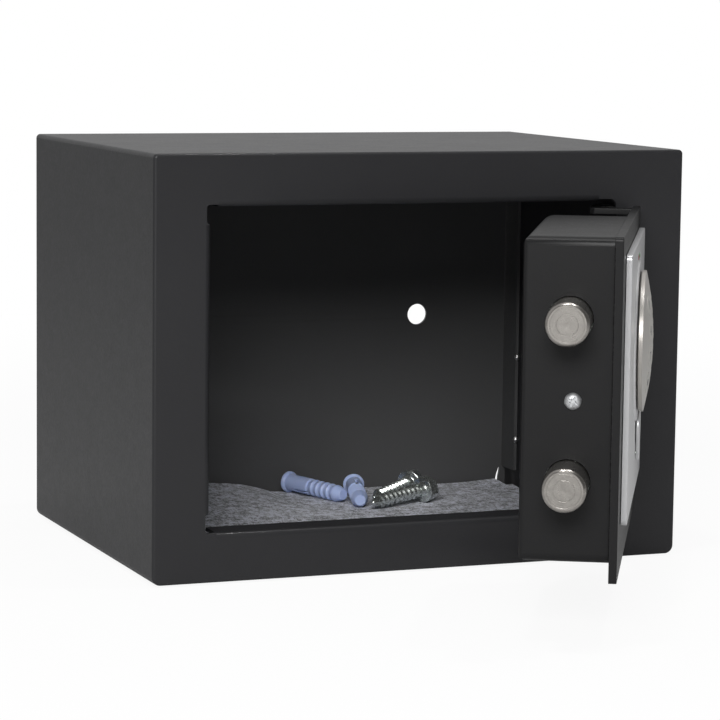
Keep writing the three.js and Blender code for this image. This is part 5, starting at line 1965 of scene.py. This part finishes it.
@dataclass
class Studio:
    """Camera, lights, floor and backdrop, in metres.

    Attributes:
        eye: The camera's place.
        right: Its direction to the right.
        up: Its upward direction.
        forward: Its direction of view.
        sensor: Its sensor's width, in millimetres.
        lens: Its focal length, in millimetres.
        sight: The nearest and farthest that it sees.
        floor_half: Half the floor's width.
        floor_drop: How far the floor lies below the object's foot.
        floor_tone: How pale the floor is.
        floor_in_gloss: How pale it is in reflections.
        shadow: Share of the object's shadow that shows on the white floor near it.
        shadow_ends: Between what distances from the middle the shadow fades out.
        gloss_white: Share of plain white in the floor's reflection.
        front_glow: The backdrop's light from the front.
        back_glow: What is added to it from behind.
        back_gloss: What is added to that in reflections.
        back_band: The directions between which front turns to back.
        lights: The soft lights.
    """

    eye: Triple = (-0.459065, -1.165063, 0.228119)
    right: Triple = (0.9293442, -0.3690149, 0.0121375)
    up: Triple = (0.0332851, 0.1164762, 0.9926356)
    forward: Triple = (0.3677111, 0.9220961, -0.1205292)
    sensor: float = 36
    lens: float = 146.3525
    sight: Pair = (0.05, 50)
    floor_half: float = 6
    floor_drop: float = 0.0006
    floor_tone: float = 0.86
    floor_in_gloss: float = 0.6
    shadow: float = 0.08
    shadow_ends: Pair = (0.25, 0.9)
    gloss_white: float = 0.08
    front_glow: float = 0.13
    back_glow: float = 0.32
    back_gloss: float = 0.14
    back_band: Pair = (-0.15, 0.55)
    lights: tuple[Softbox, ...] = (
        Softbox("above", (0.1, -0.3, 1.7), (0, 0, 0.08), (0.9, 0.9), 3),
        Softbox("right_spark", (0.45, -0.25, 1.7), (0, 0, 0.08), (0.05, 0.05), 3.2),
        Softbox("left_spark", (-0.23, -0.27, 1.7), (0, 0, 0.08), (0.14, 0.14), 5),
        Softbox("front_high", (-0.75, -1.56, 0.9), (0, 0, 0.06), (0.8, 0.6), 27),
        Softbox("low_card", (-1.25, -1.75, 0.1), (0, -0.2, 0.08), (1.2, 1.1), 1.2),
    )

    def camera(self) -> None:
        """Places the camera where the photograph was taken from."""
        data = bpy.data.cameras.new("camera")
        data.sensor_width, data.lens = self.sensor, self.lens
        data.clip_start, data.clip_end = self.sight
        obj = linked("camera", data)
        axes = Matrix((self.right, self.up, tuple(-v for v in self.forward))).transposed()
        obj.matrix_world = Matrix.Translation(self.eye) @ axes.to_4x4()
        bpy.context.scene.camera = obj

    def floor(self) -> None:
        """Lays the pale floor, white to the camera but for a faint shadow."""
        bm = bmesh.new()
        bmesh.ops.create_grid(bm, x_segments=1, y_segments=1, size=self.floor_half)
        mesh = Shape(bm).mesh("floor")
        bm.free()
        floor = linked("floor", mesh)
        floor.location.z = -self.floor_drop
        graph = Graph(bpy.data.materials.new("floor_white"))
        glossy = graph.ray(Ray.GLOSSY)
        tone = self.floor_tone - glossy * (self.floor_tone - self.floor_in_gloss)
        plain = graph.add("ShaderNodeBsdfDiffuse", {}, {"Color": tone})
        white = graph.add("ShaderNodeEmission", {}, {"Color": (1, 1, 1, 1), "Strength": 1.0})
        away = graph.distance(graph.add("ShaderNodeTexCoord", out="Object")).above(*self.shadow_ends)
        share = graph.ray(Ray.CAMERA) * (1 - self.shadow + away * self.shadow) + glossy * self.gloss_white
        shader = graph.add("ShaderNodeMixShader", {}, {0: share, 1: plain, 2: white})
        mesh.materials.append(graph.ended(shader))

    def world(self) -> None:
        """Sets a white backdrop, whose light comes from behind more than from the front."""
        graph = Graph(bpy.data.worlds.new("studio"))
        behind = graph.add("ShaderNodeTexCoord", out="Generated").part("Y").above(*self.back_band)
        path, through = graph.ray(Ray.CAMERA), graph.ray(Ray.THROUGH)
        light = self.front_glow + behind * self.back_glow + graph.ray(Ray.GLOSSY) * (behind * self.back_gloss)
        seen = path + through - path * through
        strength = light + seen * (1 - light)
        background = graph.add("ShaderNodeBackground", {}, {"Color": (1, 1, 1, 1), "Strength": strength})
        bpy.context.scene.world = graph.ended(background, "ShaderNodeOutputWorld")

    def build(self) -> None:
        """Sets the whole studio."""
        bpy.context.scene.view_settings.view_transform = "Standard"
        self.camera()
        self.floor()
        self.world()
        for light in self.lights:
            light.hang()


def main() -> None:
    """Builds the whole scene."""
    logging.basicConfig(level=logging.INFO, format="%(message)s")
    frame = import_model()
    Studio().build()
    SteelBody().build()
    LooseFixings().build()
    DoorLeaf().build()
    BoltPair().build()
    ControlFront().build()
    InnerWorks(frame).build()
    bpy.context.view_layer.update()


if __name__ == "__main__":
    main()
